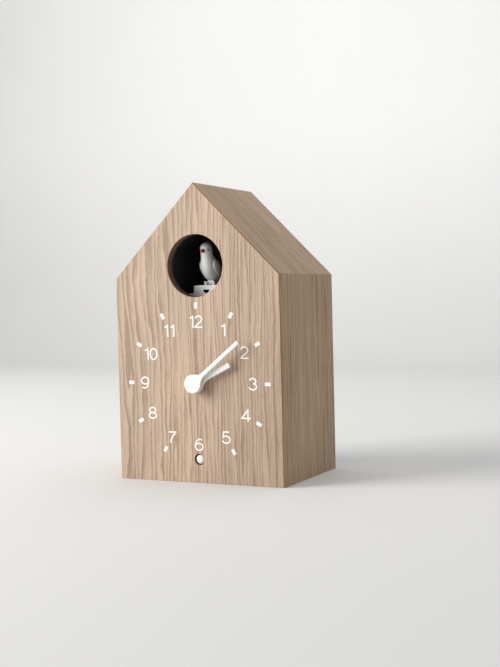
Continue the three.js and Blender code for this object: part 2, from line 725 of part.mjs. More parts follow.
function birdDeck() {
  const top = box(-DECK_WIDE / 2, DECK_WIDE / 2, DECK_FRONT, DECK_REAR, DECK_BOTTOM, DECK_TOP);
  const foot = box(
    -DECK_FOOT_WIDE / 2, DECK_FOOT_WIDE / 2,
    DECK_FRONT, DECK_REAR, DECK_BOTTOM, DECK_BOTTOM + DECK_STEP,
  );
  const inner = TONGUE_WIDE / 2 + GAP;
  const outer = inner + EAR_WIDE;
  const ear = (side) => box(
    side > 0 ? inner : -outer, side > 0 ? outer : -inner,
    EAR_FRONT, EAR_FRONT + EAR_LONG, DECK_TOP - 1, DECK_TOP + EAR_HIGH,
  );
  const notchAt = DECK_BOTTOM + NOTCH_HEIGHT;
  const notch = cut(
    barY(NOTCH_R, DECK_FRONT - CUT_PAST, DECK_FRONT + NOTCH_DEEP, 0, notchAt, 24),
    box(-NOTCH_R - 1, NOTCH_R + 1, DECK_FRONT - 2, DECK_FRONT + NOTCH_DEEP + 1, notchAt, DECK_TOP),
  );
  return cut(
    join(top, foot, ear(1), ear(-1)),
    notch,
    wireHole(DECK_BOTTOM - 1, DECK_TOP + 1),
    barX(PIN_R + PIN_FIT, -outer - CUT_PAST, outer + CUT_PAST, ...pivotAt),
  );
}

function birdPin() {
  const reach = TONGUE_WIDE / 2 + GAP + EAR_WIDE;
  return barX(PIN_R, -reach, reach, ...pivotAt);
}

const BIRD_BOTTOM = DECK_TOP + EAR_HIGH + BIRD_ABOVE_EARS;

function birdRocker() {
  const [y, z] = pivotAt;
  const half = TONGUE_WIDE / 2;
  return cut(
    join(
      barX(1.6, -half, half, y, z),
      box(-half, half, y - 1.5, y + 1.5, z, BIRD_BOTTOM - 0.2),
      box(-1.5, 1.5, y, y + BIRD_ARM_LONG + 1, z - 1.3, z + 0.2),
    ),
    barX(PIN_R + RUNNING, -half - 1, half + 1, y, z),
  );
}

// Rings from the feet to the crown: height share, middle behind the face, half width, half depth.
const birdRings = [
  [0.00, 26.4, 3.2, 3.6],
  [0.03, 26.6, 4.6, 5.4],
  [0.10, 26.4, 5.8, 7.2],
  [0.22, 25.6, 6.6, 8.4],
  [0.36, 24.4, 6.8, 8.6],
  [0.48, 23.0, 6.3, 7.6],
  [0.60, 21.2, 5.2, 6.1],
  [0.70, 19.8, 4.7, 5.3],
  [0.80, 19.0, 5.0, 5.6],
  [0.90, 18.9, 4.6, 5.1],
  [0.97, 19.1, 2.9, 3.2],
  [1.00, 19.2, 1.0, 1.1],
];
const BIRD_SIDES = 20;

function birdBody() {
  const loops = birdRings.map(([share, behind, halfWide, halfDeep]) => (
    Array.from({ length: BIRD_SIDES }, (_, k) => {
      const angle = 2 * Math.PI * k / BIRD_SIDES;
      return [
        halfWide * Math.cos(angle),
        FRONT + behind + halfDeep * Math.sin(angle),
        BIRD_BOTTOM + share * BIRD_HIGH,
      ];
    })
  ));
  const tailRow = (back, z0, z1, half) => [
    [-half, FRONT + back, z0], [half, FRONT + back, z0],
    [half, FRONT + back, z1], [-half, FRONT + back, z1],
  ];
  const tail = loft([
    tailRow(27, BIRD_BOTTOM + 2, BIRD_BOTTOM + 10, 3.6),
    tailRow(33, BIRD_BOTTOM + 1.4, BIRD_BOTTOM + 6, 3.4),
    tailRow(38, BIRD_BOTTOM + 0.9, BIRD_BOTTOM + 2.6, 2.6),
  ]);
  return join(loft(loops), tail);
}

function birdBeak() {
  const profile = [[0, -1.9], [0.9, -1.5], [BEAK_R, -0.6], [BEAK_R, -0.1], [0, -0.1]];
  const points = profile.map(([r, y]) => new THREE.Vector2(r, y));
  const geometry = new THREE.LatheGeometry(points, 16);
  return plain(geometry).translate(0, FRONT + BEAK_BACK, BIRD_BOTTOM + BEAK_SHARE * BIRD_HIGH);
}

// ---- whistles, bellows, levers ----
const PIPE_X = INSIDE_X - PIPE_SPACE - PIPE_SIZE / 2;
const BELLOWS_X = INSIDE_X - PIPE_SPACE - BELLOWS_WIDE / 2;
const LEVER_Y = WIRE_Y;
const BELLOWS_FRONT = LEVER_Y - TAB_LONG / 2;
const BELLOWS_HINGE_Y = BELLOWS_FRONT + BELLOWS_LONG;
const PIPE_TOP = BOARD_THICK + PIPE_FLOOR_SPACE + LOW_PIPE_LONG;
const PIPE_Y = BELLOWS_HINGE_Y - BELLOWS_LONG / 2 + 1;
const BASE_BOTTOM = PIPE_TOP + GAP;
const CLOTH_BOTTOM = BASE_BOTTOM + BELLOWS_BOARD + 0.1;
const LID_BOTTOM = CLOTH_BOTTOM + BELLOWS_FOLD - 0.1;

// An upright square pipe, open at its mouth and at the wind inlet on top.
function whistle(side, long) {
  const half = PIPE_SIZE / 2;
  const hollow = half - PIPE_WALL;
  const x = side * PIPE_X;
  const bottom = PIPE_TOP - long;
  return cut(
    box(x - half, x + half, PIPE_Y - half, PIPE_Y + half, bottom, PIPE_TOP),
    box(x - hollow, x + hollow, PIPE_Y - hollow, PIPE_Y + hollow, bottom + PIPE_WALL, PIPE_TOP - 10),
    box(x - hollow, x + hollow, PIPE_Y - half - 1, PIPE_Y, PIPE_TOP - 16, PIPE_TOP - 11),
    box(x - hollow, x + hollow, PIPE_Y - hollow - 0.5, PIPE_Y - hollow + 1, PIPE_TOP - 12, PIPE_TOP - 5),
    box(x - 4, x + 4, PIPE_Y - hollow - 0.5, PIPE_Y + 4, PIPE_TOP - 8, PIPE_TOP - 4),
    box(x - 4, x + 4, PIPE_Y - 2, PIPE_Y + 4, PIPE_TOP - 5, PIPE_TOP + 1),
  );
}

function bellowsBoard(side, bottom) {
  const x = side * BELLOWS_X;
  const half = BELLOWS_WIDE / 2;
  return box(x - half, x + half, BELLOWS_FRONT, BELLOWS_HINGE_Y, bottom, bottom + BELLOWS_BOARD);
}

function bellowsBase(side) {
  const x = side * BELLOWS_X;
  const port = box(x - 5, x + 3, PIPE_Y - 2, PIPE_Y + 4, BASE_BOTTOM - 1, BASE_BOTTOM + BELLOWS_BOARD + 1);
  return cut(bellowsBoard(side, BASE_BOTTOM), port);
}

const LID_INNER_X = BELLOWS_X - BELLOWS_WIDE / 2;

function bellowsLid(side) {
  const edge = LID_INNER_X;
  const tab = box(
    Math.min(side * (edge - TAB_WIDE), side * (edge + 1)),
    Math.max(side * (edge - TAB_WIDE), side * (edge + 1)),
    BELLOWS_FRONT, BELLOWS_FRONT + TAB_LONG,
    LID_BOTTOM, LID_BOTTOM + BELLOWS_BOARD,
  );
  return join(bellowsBoard(side, LID_BOTTOM), tab);
}

function bellowsCloth(side) {
  const x = side * BELLOWS_X;
  const half = BELLOWS_WIDE / 2 - 1;
  return box(
    x - half, x + half, BELLOWS_FRONT + 1, BELLOWS_HINGE_Y - 1,
    CLOTH_BOTTOM, LID_BOTTOM - 0.1,
  );
}

const LEVER_PIVOT_Z = LID_BOTTOM - 1;
const LEVER_TIP_X = LID_INNER_X - TAB_WIDE / 2;
const LEVER_TIP_Z = LID_BOTTOM - 0.8 - LEVER_TIP_R;

function liftLever(side) {
  const y0 = LEVER_Y - LEVER_THICK / 2;
  const y1 = LEVER_Y + LEVER_THICK / 2;
  const arm = outline([
    [0, -LEVER_HALF],
    [LEVER_TIP_X - LEVER_PIVOT_X, LEVER_TIP_Z - LEVER_PIVOT_Z - LEVER_TIP_R],
    [LEVER_TIP_X - LEVER_PIVOT_X, LEVER_TIP_Z - LEVER_PIVOT_Z + LEVER_TIP_R],
    [0, LEVER_HALF],
    [1 - LEVER_PIVOT_X, LEVER_HALF + 0.5],
    [1 - LEVER_PIVOT_X, LEVER_HALF - 2.5],
  ]);
  const lever = cut(
    join(
      slab(arm, y0, y1),
      barY(LEVER_TIP_R, y0, y1, LEVER_TIP_X - LEVER_PIVOT_X, LEVER_TIP_Z - LEVER_PIVOT_Z, 16),
      barY(LEVER_HUB_R, y0, y1, 0, 0, 20),
    ),
    barY(POST_R + RUNNING, y0 - 1, y1 + 1, 0, 0, 20),
  );
  return side > 0 ? lever : mirrored(lever);
}

function mirrored(geometry) {
  return plain(geometry.clone().scale(-1, 1, 1));
}

const camAt = [0, LEVER_PIVOT_Z + LEVER_HUB_R + CAM_SPACE + CAM_LOBE_R];
const FRAME_Y = LEVER_Y + FRAME_BEHIND_LEVERS;
const CAM_TEETH = 40;
const IDLER_PINION_TEETH = 8;
const IDLER_TEETH = 32;
const MOTOR_TEETH = 8;
const IDLER_ANGLE = 0;
const IDLER_DISTANCE = STRIKE_MODULE * (CAM_TEETH + IDLER_PINION_TEETH) / 2;
const idlerAt = [
  camAt[0] + IDLER_DISTANCE * Math.cos(IDLER_ANGLE),
  camAt[1] + IDLER_DISTANCE * Math.sin(IDLER_ANGLE),
];
const MOTOR_ANGLE = Math.PI / 3;
const MOTOR_DISTANCE = STRIKE_MODULE * (IDLER_TEETH + MOTOR_TEETH) / 2;
const motorAt = [
  idlerAt[0] + MOTOR_DISTANCE * Math.cos(MOTOR_ANGLE),
  idlerAt[1] + MOTOR_DISTANCE * Math.sin(MOTOR_ANGLE),
];
const IDLER_LAYER = FRAME_Y - 0.7 - STRIKE_WHEEL_THICK;
const CAM_LAYER = IDLER_LAYER - TRAIN_SPACE - STRIKE_WHEEL_THICK;
const camPhase = 0;
const idlerPinionPhase = meshPhase(IDLER_ANGLE, CAM_TEETH, camPhase, IDLER_PINION_TEETH);
const idlerPhase = 0;
const motorPhase = meshPhase(MOTOR_ANGLE, IDLER_TEETH, idlerPhase, MOTOR_TEETH);

function camWheel() {
  const y0 = LEVER_Y - LEVER_THICK / 2;
  const lobe = outline([
    [-2.6, 0],
    [2.6, 0],
    [1.6, CAM_LOBE_R - 0.2],
    [0, CAM_LOBE_R],
    [-1.6, CAM_LOBE_R - 0.2],
  ]);
  const lobes = [0, 1, 2].map((k) => (
    slab(lobe, y0, y0 + LEVER_THICK).rotateY(Math.PI / 3 + k * 2 * Math.PI / 3)
  ));
  return cut(
    join(
      gear(CAM_TEETH, STRIKE_MODULE, camPhase, CAM_LAYER, STRIKE_WHEEL_THICK),
      barY(POST_R + 2, y0, CAM_LAYER + 0.5),
      ...lobes,
    ),
    barY(POST_R + RUNNING, y0 - 1, CAM_LAYER + STRIKE_WHEEL_THICK + 1, 0, 0, 20),
  );
}

function idlerGear() {
  return cut(
    join(
      gear(IDLER_PINION_TEETH, STRIKE_MODULE, idlerPinionPhase, CAM_LAYER, STRIKE_WHEEL_THICK),
      barY(POST_R + 0.7, CAM_LAYER + 0.5, IDLER_LAYER + 0.5, 0, 0, 20),
      gear(IDLER_TEETH, STRIKE_MODULE, idlerPhase, IDLER_LAYER, STRIKE_WHEEL_THICK),
    ),
    barY(POST_R + RUNNING, CAM_LAYER - 1, IDLER_LAYER + STRIKE_WHEEL_THICK + 1, 0, 0, 20),
  );
}

function motorPinion() {
  return cut(
    gear(MOTOR_TEETH, STRIKE_MODULE, motorPhase, IDLER_LAYER, STRIKE_WHEEL_THICK),
    barY(MOTOR_SHAFT_R + RUNNING, IDLER_LAYER - 1, IDLER_LAYER + STRIKE_WHEEL_THICK + 1, 0, 0, 16),
  );
}

function strikeMotor() {
  const y0 = FRAME_Y + FRAME_THICK + GAP;
  return join(
    barY(MOTOR_R, y0, y0 + MOTOR_LONG, 0, 0, 32),
    barY(MOTOR_SHAFT_R, IDLER_LAYER - 0.2, y0 + 1, 0, 0, 16),
    barY(MOTOR_BOSS_R, FRAME_Y + 0.5, y0 + 1, 0, 0, 20),
  );
}

const FRAME_BOTTOM = LEVER_PIVOT_Z - 6;
const FRAME_TOP = CHAMBER_FLOOR - CHAMBER_WALL - GAP;

function strikeFrame() {
  const plate = box(-20, LID_INNER_X - 3, FRAME_Y, FRAME_Y + FRAME_THICK, FRAME_BOTTOM, FRAME_TOP);
  const flange = box(-20, 20, FRAME_Y, FRAME_Y + 12, FRAME_TOP - FRAME_THICK, FRAME_TOP);
  const leverPost = (side) => barY(
    POST_R, LEVER_Y - LEVER_THICK / 2 - 0.6, FRAME_Y + 1, side * LEVER_PIVOT_X, LEVER_PIVOT_Z, 20,
  );
  return cut(
    join(
      plate,
      flange,
      leverPost(1),
      leverPost(-1),
      barY(POST_R, LEVER_Y - LEVER_THICK / 2 - 0.6, FRAME_Y + 1, ...camAt, 20),
      barY(POST_R, CAM_LAYER - 0.4, FRAME_Y + 1, ...idlerAt, 20),
    ),
    barY(MOTOR_BOSS_R + GAP, FRAME_Y - CUT_PAST, FRAME_Y + FRAME_THICK + CUT_PAST, ...motorAt, 20),
  );
}

const WIRE_X = LEVER_PIVOT_X + 4.2;
const WIRE_BOTTOM = LEVER_PIVOT_Z + 2.1;
const WIRE_CROSS = CHAMBER_FLOOR - CHAMBER_WALL - 7;

function birdWire() {
  const square = WIRE_R;
  const upright = (x, z0, z1) => box(x - square, x + square, WIRE_Y - square, WIRE_Y + square, z0, z1);
  return join(
    upright(WIRE_X, WIRE_BOTTOM, WIRE_CROSS + square),
    upright(0, WIRE_CROSS - square, DECK_TOP + 0.3),
    box(
      -square, WIRE_X + square, WIRE_Y - square, WIRE_Y + square,
      WIRE_CROSS - square, WIRE_CROSS + square,
    ),
  );
}

// ---- back cover, power and controls ----
const TRAY_BOTTOM = BOARD_THICK + 0.5;
const TRAY_TOP = TRAY_BOTTOM + BAY_HIGH + 2 * TRAY_WALL;
const TRAY_FRONT = INSIDE_BACK - BAY_DEEP - TRAY_WALL;
const doorHalf = BAY_WIDE / 2 - DOOR_MARGIN;
const doorLow = TRAY_BOTTOM + TRAY_WALL + DOOR_MARGIN;
const doorHigh = TRAY_TOP - TRAY_WALL - DOOR_MARGIN;

function keyholeShape(grow) {
  const head = KEYHOLE_R + grow;
  const slot = KEYHOLE_SLOT_R + grow;
  const meet = Math.asin(slot / head);
  const shape = new THREE.Shape();
  shape.absarc(0, KEYHOLE_Z, head, Math.PI / 2 + meet, 2.5 * Math.PI - meet, false);
  shape.absarc(0, KEYHOLE_Z + KEYHOLE_RISE, slot, 0, Math.PI, false);
  return shape;
}

function backCover() {
  const edge = outline(inset(gable, BOARD_THICK + GAP));
  const through = [COVER_IN - 1, COVER_OUT + 1];
  const slotHalf = SWITCH_TRAVEL + SWITCH_KNOB / 2 + 0.6;
  const soundSlots = [];
  for (const side of [-1, 1]) {
    const x = side * SOUND_SLOT_X;
    const half = SOUND_SLOT_LONG / 2;
    for (let k = 0; k < SOUND_SLOTS; k += 1) {
      const z = SOUND_SLOT_HEIGHT + k * SOUND_SLOT_PITCH;
      soundSlots.push(box(x - half, x + half, ...through, z, z + SOUND_SLOT_TALL));
    }
  }
  return cut(
    slab(edge, COVER_IN, COVER_OUT),
    box(-doorHalf, doorHalf, ...through, doorLow, doorHigh),
    slab(keyholeShape(KEYHOLE_COVER_MARGIN), ...through),
    barY(KNOB_R + KNOB_CLEAR, ...through, ...settingAt, 40),
    box(
      SWITCH_X - slotHalf, SWITCH_X + slotHalf, ...through,
      CONTROL_HEIGHT - SWITCH_TALL / 2 - 0.4, CONTROL_HEIGHT + SWITCH_TALL / 2 + 0.4,
    ),
    barY(BUTTON_R + GAP, ...through, BUTTON_X, CONTROL_HEIGHT, 32),
    ...Object.values(screwPlaces).map(([x, z]) => barY(SCREW_R + RUNNING, ...through, x, z, 16)),
    ...soundSlots,
  );
}

function hangerPlate() {
  const half = HANGER_WIDE / 2;
  const y0 = COVER_OUT + TOUCH;
  const y1 = y0 + HANGER_THICK;
  const top = KEYHOLE_Z + KEYHOLE_RISE + HANGER_ABOVE;
  return cut(
    box(-half, half, y0, y1, KEYHOLE_Z - HANGER_BELOW, top),
    slab(keyholeShape(0), y0 - CUT_PAST, y1 + CUT_PAST),
  );
}

function batteryTray() {
  const half = BAY_WIDE / 2;
  const ribs = [1, 2].map((k) => {
    const z = TRAY_BOTTOM + TRAY_WALL + k * BAY_HIGH / 3;
    return box(
      -half - 0.5, half + 0.5, TRAY_FRONT + 0.5, TRAY_FRONT + TRAY_WALL + 4,
      z - 0.5, z + 0.5,
    );
  });
  const shell = cut(
    box(-half - TRAY_WALL, half + TRAY_WALL, TRAY_FRONT, INSIDE_BACK, TRAY_BOTTOM, TRAY_TOP),
    box(
      -half, half, TRAY_FRONT + TRAY_WALL, INSIDE_BACK + CUT_PAST,
      TRAY_BOTTOM + TRAY_WALL, TRAY_TOP - TRAY_WALL,
    ),
  );
  return join(shell, ...ribs);
}

function cellHeights() {
  return [0.5, 1.5, 2.5].map((k) => TRAY_BOTTOM + TRAY_WALL + k * BAY_HIGH / 3);
}

function batteryContact(side) {
  const wall = side * (BAY_WIDE / 2 - 0.2);
  const x0 = Math.min(wall, wall - side * CONTACT_THICK);
  const y = TRAY_FRONT + TRAY_WALL + CELL_R + 0.5;
  const plates = cellHeights().map((z) => box(x0, x0 + CONTACT_THICK, y - 6, y + 6, z - 5.5, z + 5.5));
  const spine = box(x0, x0 + CONTACT_THICK, y + 2, y + 7, cellHeights()[0], cellHeights()[2]);
  const reach = side > 0 ? 1.5 : 5;
  const [wide, narrow] = side > 0 ? [2, 2] : [3.6, 2];
  const noses = cellHeights().map((z) => {
    const nose = new THREE.CylinderGeometry(narrow, wide, reach, 14).rotateZ(side * Math.PI / 2);
    return nose.translate(wall - side * (CONTACT_THICK + reach / 2 - 0.1), y, z);
  });
  return join(...plates, spine, ...noses);
}

function batteryDoor() {
  const panel = box(
    -doorHalf + DOOR_CLEAR, doorHalf - DOOR_CLEAR, COVER_IN, COVER_OUT,
    doorLow + DOOR_CLEAR, doorHigh - DOOR_CLEAR,
  );
  const grip = box(-9, 9, COVER_OUT - 1.2, COVER_OUT + CUT_PAST, doorHigh - 9, doorHigh - 4);
  return cut(panel, grip);
}

function circuitBoard() {
  const y0 = BOARD_FRONT;
  const y1 = BOARD_FRONT + PCB_THICK;
  const left = SWITCH_X - 12;
  const right = settingAt[0] - ARBOR_R - 6.5;
  const half = SWITCH_TRAVEL + SWITCH_KNOB / 2 + 1.6;
  const slot = SWITCH_TRAVEL + SWITCH_KNOB / 2 + 0.4;
  const z = CONTROL_HEIGHT;
  const switchCase = cut(
    box(SWITCH_X - half, SWITCH_X + half, y1 - 0.2, y1 + 6, z - 3.5, z + 3.5),
    box(SWITCH_X - slot, SWITCH_X + slot, y1 + 2, y1 + 7, z - 2, z + 2),
  );
  return join(
    box(left, right, y0, y1, TRAY_TOP + 4, TRAY_TOP + 41),
    switchCase,
    box(BUTTON_X - 3.5, BUTTON_X + 3.5, y1 - 0.2, COVER_IN - 3 - BUTTON_TRAVEL - 0.4, z - 3.5, z + 3.5),
    box(-18, -6, y0 - 1.6, y0 + 0.2, z - 14, z - 6),
    barY(4, y1 - 0.2, y1 + 6, 4, z + 10, 20),
  );
}

function soundSwitch() {
  const half = SWITCH_KNOB / 2;
  return box(
    SWITCH_X - half, SWITCH_X + half, BOARD_FRONT + PCB_THICK + 2.5, COVER_OUT + 1.6,
    CONTROL_HEIGHT - SWITCH_TALL / 2, CONTROL_HEIGHT + SWITCH_TALL / 2,
  );
}

function testButton() {
  const flange = barY(BUTTON_R + 1.2, COVER_IN - 3, COVER_IN - 0.4, BUTTON_X, CONTROL_HEIGHT, 24);
  return join(flange, barY(BUTTON_R, COVER_IN - 1, COVER_OUT + 1.8, BUTTON_X, CONTROL_HEIGHT, 32));
}

const KNOB_BACK = BACK - 0.5;
const SHAFT_END = KNOB_BACK - 2;

function settingShaft() {
  return join(
    gear(CANNON_TEETH, MOTION_MODULE, settingPhase, MOTION_LAYER, WHEEL_THICK),
    barY(ARBOR_R, MOTION_LAYER + 0.2, SHAFT_END, 0, 0, 20),
  );
}

// Knob with a fluted rim.
function settingKnob() {
  const flutes = 20;
  const points = [];
  for (let k = 0; k < 2 * flutes; k += 1) {
    const angle = Math.PI * k / flutes;
    const r = k % 2 ? KNOB_R - 0.5 : KNOB_R;
    points.push([r * Math.cos(angle), r * Math.sin(angle)]);
  }
  return cut(
    slab(outline(points), KNOB_BACK - KNOB_LONG, KNOB_BACK),
    barY(ARBOR_R + 0.05, KNOB_BACK - KNOB_LONG - 1, SHAFT_END + 0.2, 0, 0, 20),
  );
}

// ---- light sensor ----
function sensorLens() {
  const profile = [
    [0, SENSOR_BACK],
    [1.9, SENSOR_BACK + 0.5],
    [3.1, SENSOR_BACK + 1.6],
    [SENSOR_LENS_R, SENSOR_BACK + 3],
    [SENSOR_LENS_R, FRONT_THICK - 1],
    [0, FRONT_THICK - 1],
  ];
  const points = profile.map(([r, y]) => new THREE.Vector2(r, y));
  return plain(new THREE.LatheGeometry(points, 24)).translate(0, FRONT, SENSOR_HEIGHT);
}

// ---- the clock ----
const clock = new THREE.Group();
clock.add(
  part('front_panel', frontPanel(), 'ash'),
  part('base_panel', shellBoard(0), 'ash'),
  part('right_side_panel', shellBoard(1), 'ash'),
  part('right_roof_panel', shellBoard(2), 'ash'),
  part('left_roof_panel', shellBoard(3), 'ash'),
  part('left_side_panel', shellBoard(4), 'ash'),
  part('left_glue_block', glueBlock(...screwPlaces.left_cover_screw), 'pine'),
  part('right_glue_block', glueBlock(...screwPlaces.right_cover_screw), 'pine'),
  part('ridge_block', ridgeBlock(), 'pine'),
  part('back_cover', backCover(), 'black'),
  part('hanger_plate', hangerPlate(), 'steel'),
  part('battery_tray', batteryTray(), 'black'),
  part('battery_spring_contact', batteryContact(-1), 'steel'),
  part('battery_plate_contact', batteryContact(1), 'steel'),
  part('battery_door', batteryDoor(), 'black'),
  part('circuit_board', circuitBoard(), 'board'),
  part('sound_switch', soundSwitch(), 'grey'),
  part('test_button', testButton(), 'grey'),
  part('sensor_lens', sensorLens(), 'white'),
);
for (const [name, place] of Object.entries(screwPlaces)) {
  clock.add(part(name, coverScrew(...place), 'steel'));
}

const dial = [0, 0, DIAL_HEIGHT];
clock.add(
  part('movement_case_front', movementFront(), 'black'),
  part('movement_case_back', movementBack(), 'black'),
  part('shaft_washer', washer(), 'brass', dial),
  part('shaft_nut', nut(), 'brass', dial),
  part('minute_arbor', minuteArbor(), 'nylon', dial),
  part('hour_wheel', hourWheel(), 'nylon', dial),
  part('minute_wheel', minuteWheel(), 'nylon', [minuteWheelAt[0], 0, minuteWheelAt[1]]),
  part('third_wheel', thirdWheel(), 'nylon', [thirdAt[0], 0, thirdAt[1]]),
  part('stepper_rotor', rotor(), 'grey', [rotorAt[0], 0, rotorAt[1]]),
  part('stepper_coil', stepperCoil(), 'brass'),
  part('setting_shaft', settingShaft(), 'nylon', [settingAt[0], 0, settingAt[1]]),
  part('setting_knob', settingKnob(), 'grey', [settingAt[0], 0, settingAt[1]]),
  part('hour_hand', hourHand(), 'white', dial),
  part('minute_hand', minuteHand(), 'white', dial),
);

clock.add(
  part('bird_chamber', birdChamber(), 'black'),
  part('bird_deck', birdDeck(), 'white'),
  part('bird_pivot_pin', birdPin(), 'steel'),
  part('bird_rocker', birdRocker(), 'white'),
  part('bird_body', birdBody(), 'white'),
  part('bird_beak', birdBeak(), 'red'),
  part('bird_wire', birdWire(), 'steel'),
);

clock.add(
  part('strike_frame', strikeFrame(), 'black'),
  part('strike_motor', strikeMotor(), 'steel', [motorAt[0], 0, motorAt[1]]),
  part('motor_pinion', motorPinion(), 'brass', [motorAt[0], 0, motorAt[1]]),
  part('idler_gear', idlerGear(), 'nylon', [idlerAt[0], 0, idlerAt[1]]),
  part('cam_wheel', camWheel(), 'nylon', [camAt[0], 0, camAt[1]]),
);
for (const [name, side, long] of [['left', -1, LOW_PIPE_LONG], ['right', 1, HIGH_PIPE_LONG]]) {
  clock.add(
    part(`${name}_whistle`, whistle(side, long), 'pine'),
    part(`${name}_bellows_base`, bellowsBase(side), 'pine'),
    part(`${name}_bellows_cloth`, bellowsCloth(side), 'cloth'),
    part(`${name}_bellows_lid`, bellowsLid(side), 'pine'),
    part(`${name}_lift_lever`, liftLever(side), 'nylon', [side * LEVER_PIVOT_X, 0, LEVER_PIVOT_Z]),
  );
}

export default clock;
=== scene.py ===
"""Gives a house-shaped wall cuckoo clock its finished look around the packed frame."""
import json
import math

import bmesh
import bpy
from bpy.props import FloatProperty, FloatVectorProperty, IntProperty, PointerProperty
from mathutils import Matrix, Vector


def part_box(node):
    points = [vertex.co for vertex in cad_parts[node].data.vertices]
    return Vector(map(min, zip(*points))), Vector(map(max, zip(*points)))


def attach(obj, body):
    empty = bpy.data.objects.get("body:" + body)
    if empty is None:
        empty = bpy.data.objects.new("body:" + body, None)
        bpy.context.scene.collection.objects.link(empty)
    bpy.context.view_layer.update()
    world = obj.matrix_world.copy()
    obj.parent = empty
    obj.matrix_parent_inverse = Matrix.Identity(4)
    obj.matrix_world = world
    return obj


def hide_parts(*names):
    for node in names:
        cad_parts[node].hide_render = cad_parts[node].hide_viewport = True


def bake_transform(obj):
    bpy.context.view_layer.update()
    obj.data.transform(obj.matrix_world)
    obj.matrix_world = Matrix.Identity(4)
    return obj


bl_info = {
    "name": "Cuckoo clock",
    "version": (1, 0, 0),
    "blender": (4, 5, 0),
    "location": "3D View > Sidebar > Cuckoo clock",
    "description": "Builds the case, dial, hands, bird and back of a small wall cuckoo clock",
    "category": "Add Mesh",
}

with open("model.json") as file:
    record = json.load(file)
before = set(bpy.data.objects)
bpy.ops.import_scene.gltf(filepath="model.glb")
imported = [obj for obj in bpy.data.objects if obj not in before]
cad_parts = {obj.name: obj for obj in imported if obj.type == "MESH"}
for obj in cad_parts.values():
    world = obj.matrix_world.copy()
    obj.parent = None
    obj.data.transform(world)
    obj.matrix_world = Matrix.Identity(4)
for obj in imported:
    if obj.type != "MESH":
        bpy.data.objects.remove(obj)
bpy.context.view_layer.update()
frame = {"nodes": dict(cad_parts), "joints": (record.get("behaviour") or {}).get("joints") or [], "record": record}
MM = 0.001

# Points closer than the first are merged; places closer than the second count as the same.
MERGE, NEAR = 1e-6, 2e-5

QUARTER = math.pi / 2
TAU = 2 * math.pi


def low(node):
    """Lowest corner of a frame node."""
    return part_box(node)[0]


def high(node):
    """Highest corner of a frame node."""
    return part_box(node)[1]


def joint_place(name):
    """Axis point of a hinge in the frame."""
    joint = next(j for j in frame["joints"] if j["name"] == name)
    return Vector(joint["pos_m"])


# Places in the frame, in metres. The clock faces -Y; its right side, seen from the front, is at +X.
FRONT = low("front_panel").y
PANEL_BACK = high("front_panel").y
BACK = high("right_side_panel").y
HALF_WIDTH = high("front_panel").x
RIDGE = high("front_panel").z
EAVE = RIDGE - HALF_WIDTH
BOARD = high("right_side_panel").x - low("right_side_panel").x
DIAL = joint_place("minute_turn")
SENSOR = (low("sensor_lens") + high("sensor_lens")) / 2
WINDOW = Vector((0, FRONT, EAVE + 8 * MM))
BIRD_BOTTOM = low("bird_body").z
BIRD_HEIGHT = high("bird_body").z - BIRD_BOTTOM
DECK_TOP = joint_place("bird_bow").z - 1.9 * MM
DECK_HALF = 10.8 * MM


# ---------------------------------------------------------------- sizes and colours

class CaseSettings(bpy.types.PropertyGroup):
    """Wooden case."""
    hole_radius: FloatProperty(
        name="Window radius", description="Radius of the bird's round window",
        default=23.5 * MM, unit="LENGTH")
    bush_hole_radius: FloatProperty(
        name="Bush hole radius", description="Radius of the hole for the hand shaft's bush",
        default=4.3 * MM, unit="LENGTH")
    sensor_hole_radius: FloatProperty(
        name="Sensor hole radius", description="Radius of the light sensor's hole",
        default=4.25 * MM, unit="LENGTH")
    # Painted shade: from this depth back, the window's wooden wall is painted black for the shade deep in the
    # window.
    lining_depth: FloatProperty(
        name="Lining depth", description="Depth at which the window's black lining starts",
        default=6.6 * MM, unit="LENGTH")
    seam: FloatProperty(
        name="Mitre seam", description="Gap left in the mitred joints",
        default=0.05 * MM, unit="LENGTH")
    corner: FloatProperty(
        name="Front corner", description="Width of the stained chamfer round the front panel",
        default=0.9 * MM, unit="LENGTH")
    edge: FloatProperty(
        name="Eased edge", description="Rounding of the other edges",
        default=0.25 * MM, unit="LENGTH")


class DialSettings(bpy.types.PropertyGroup):
    """Printed dial."""
    mark_circle: FloatProperty(
        name="Mark circle", description="Radius at the middle of the hour marks",
        default=58.3 * MM, unit="LENGTH")
    mark_length: FloatProperty(
        name="Mark length", description="Length of an hour mark along the radius",
        default=4.6 * MM, unit="LENGTH")
    mark_width: FloatProperty(
        name="Mark width", description="Width of an hour mark",
        default=2.65 * MM, unit="LENGTH")
    numeral_circle: FloatProperty(
        name="Numeral circle", description="Radius at the middle of the numerals",
        default=46.2 * MM, unit="LENGTH")
    numeral_height: FloatProperty(
        name="Numeral height", description="Height of the numerals",
        default=9.3 * MM, unit="LENGTH")
    stroke: FloatProperty(
        name="Stroke", description="Width of the numerals' strokes",
        default=1.08 * MM, unit="LENGTH")
    ink: FloatProperty(
        name="Ink thickness", description="How far the print stands on the veneer",
        default=0.05 * MM, unit="LENGTH")


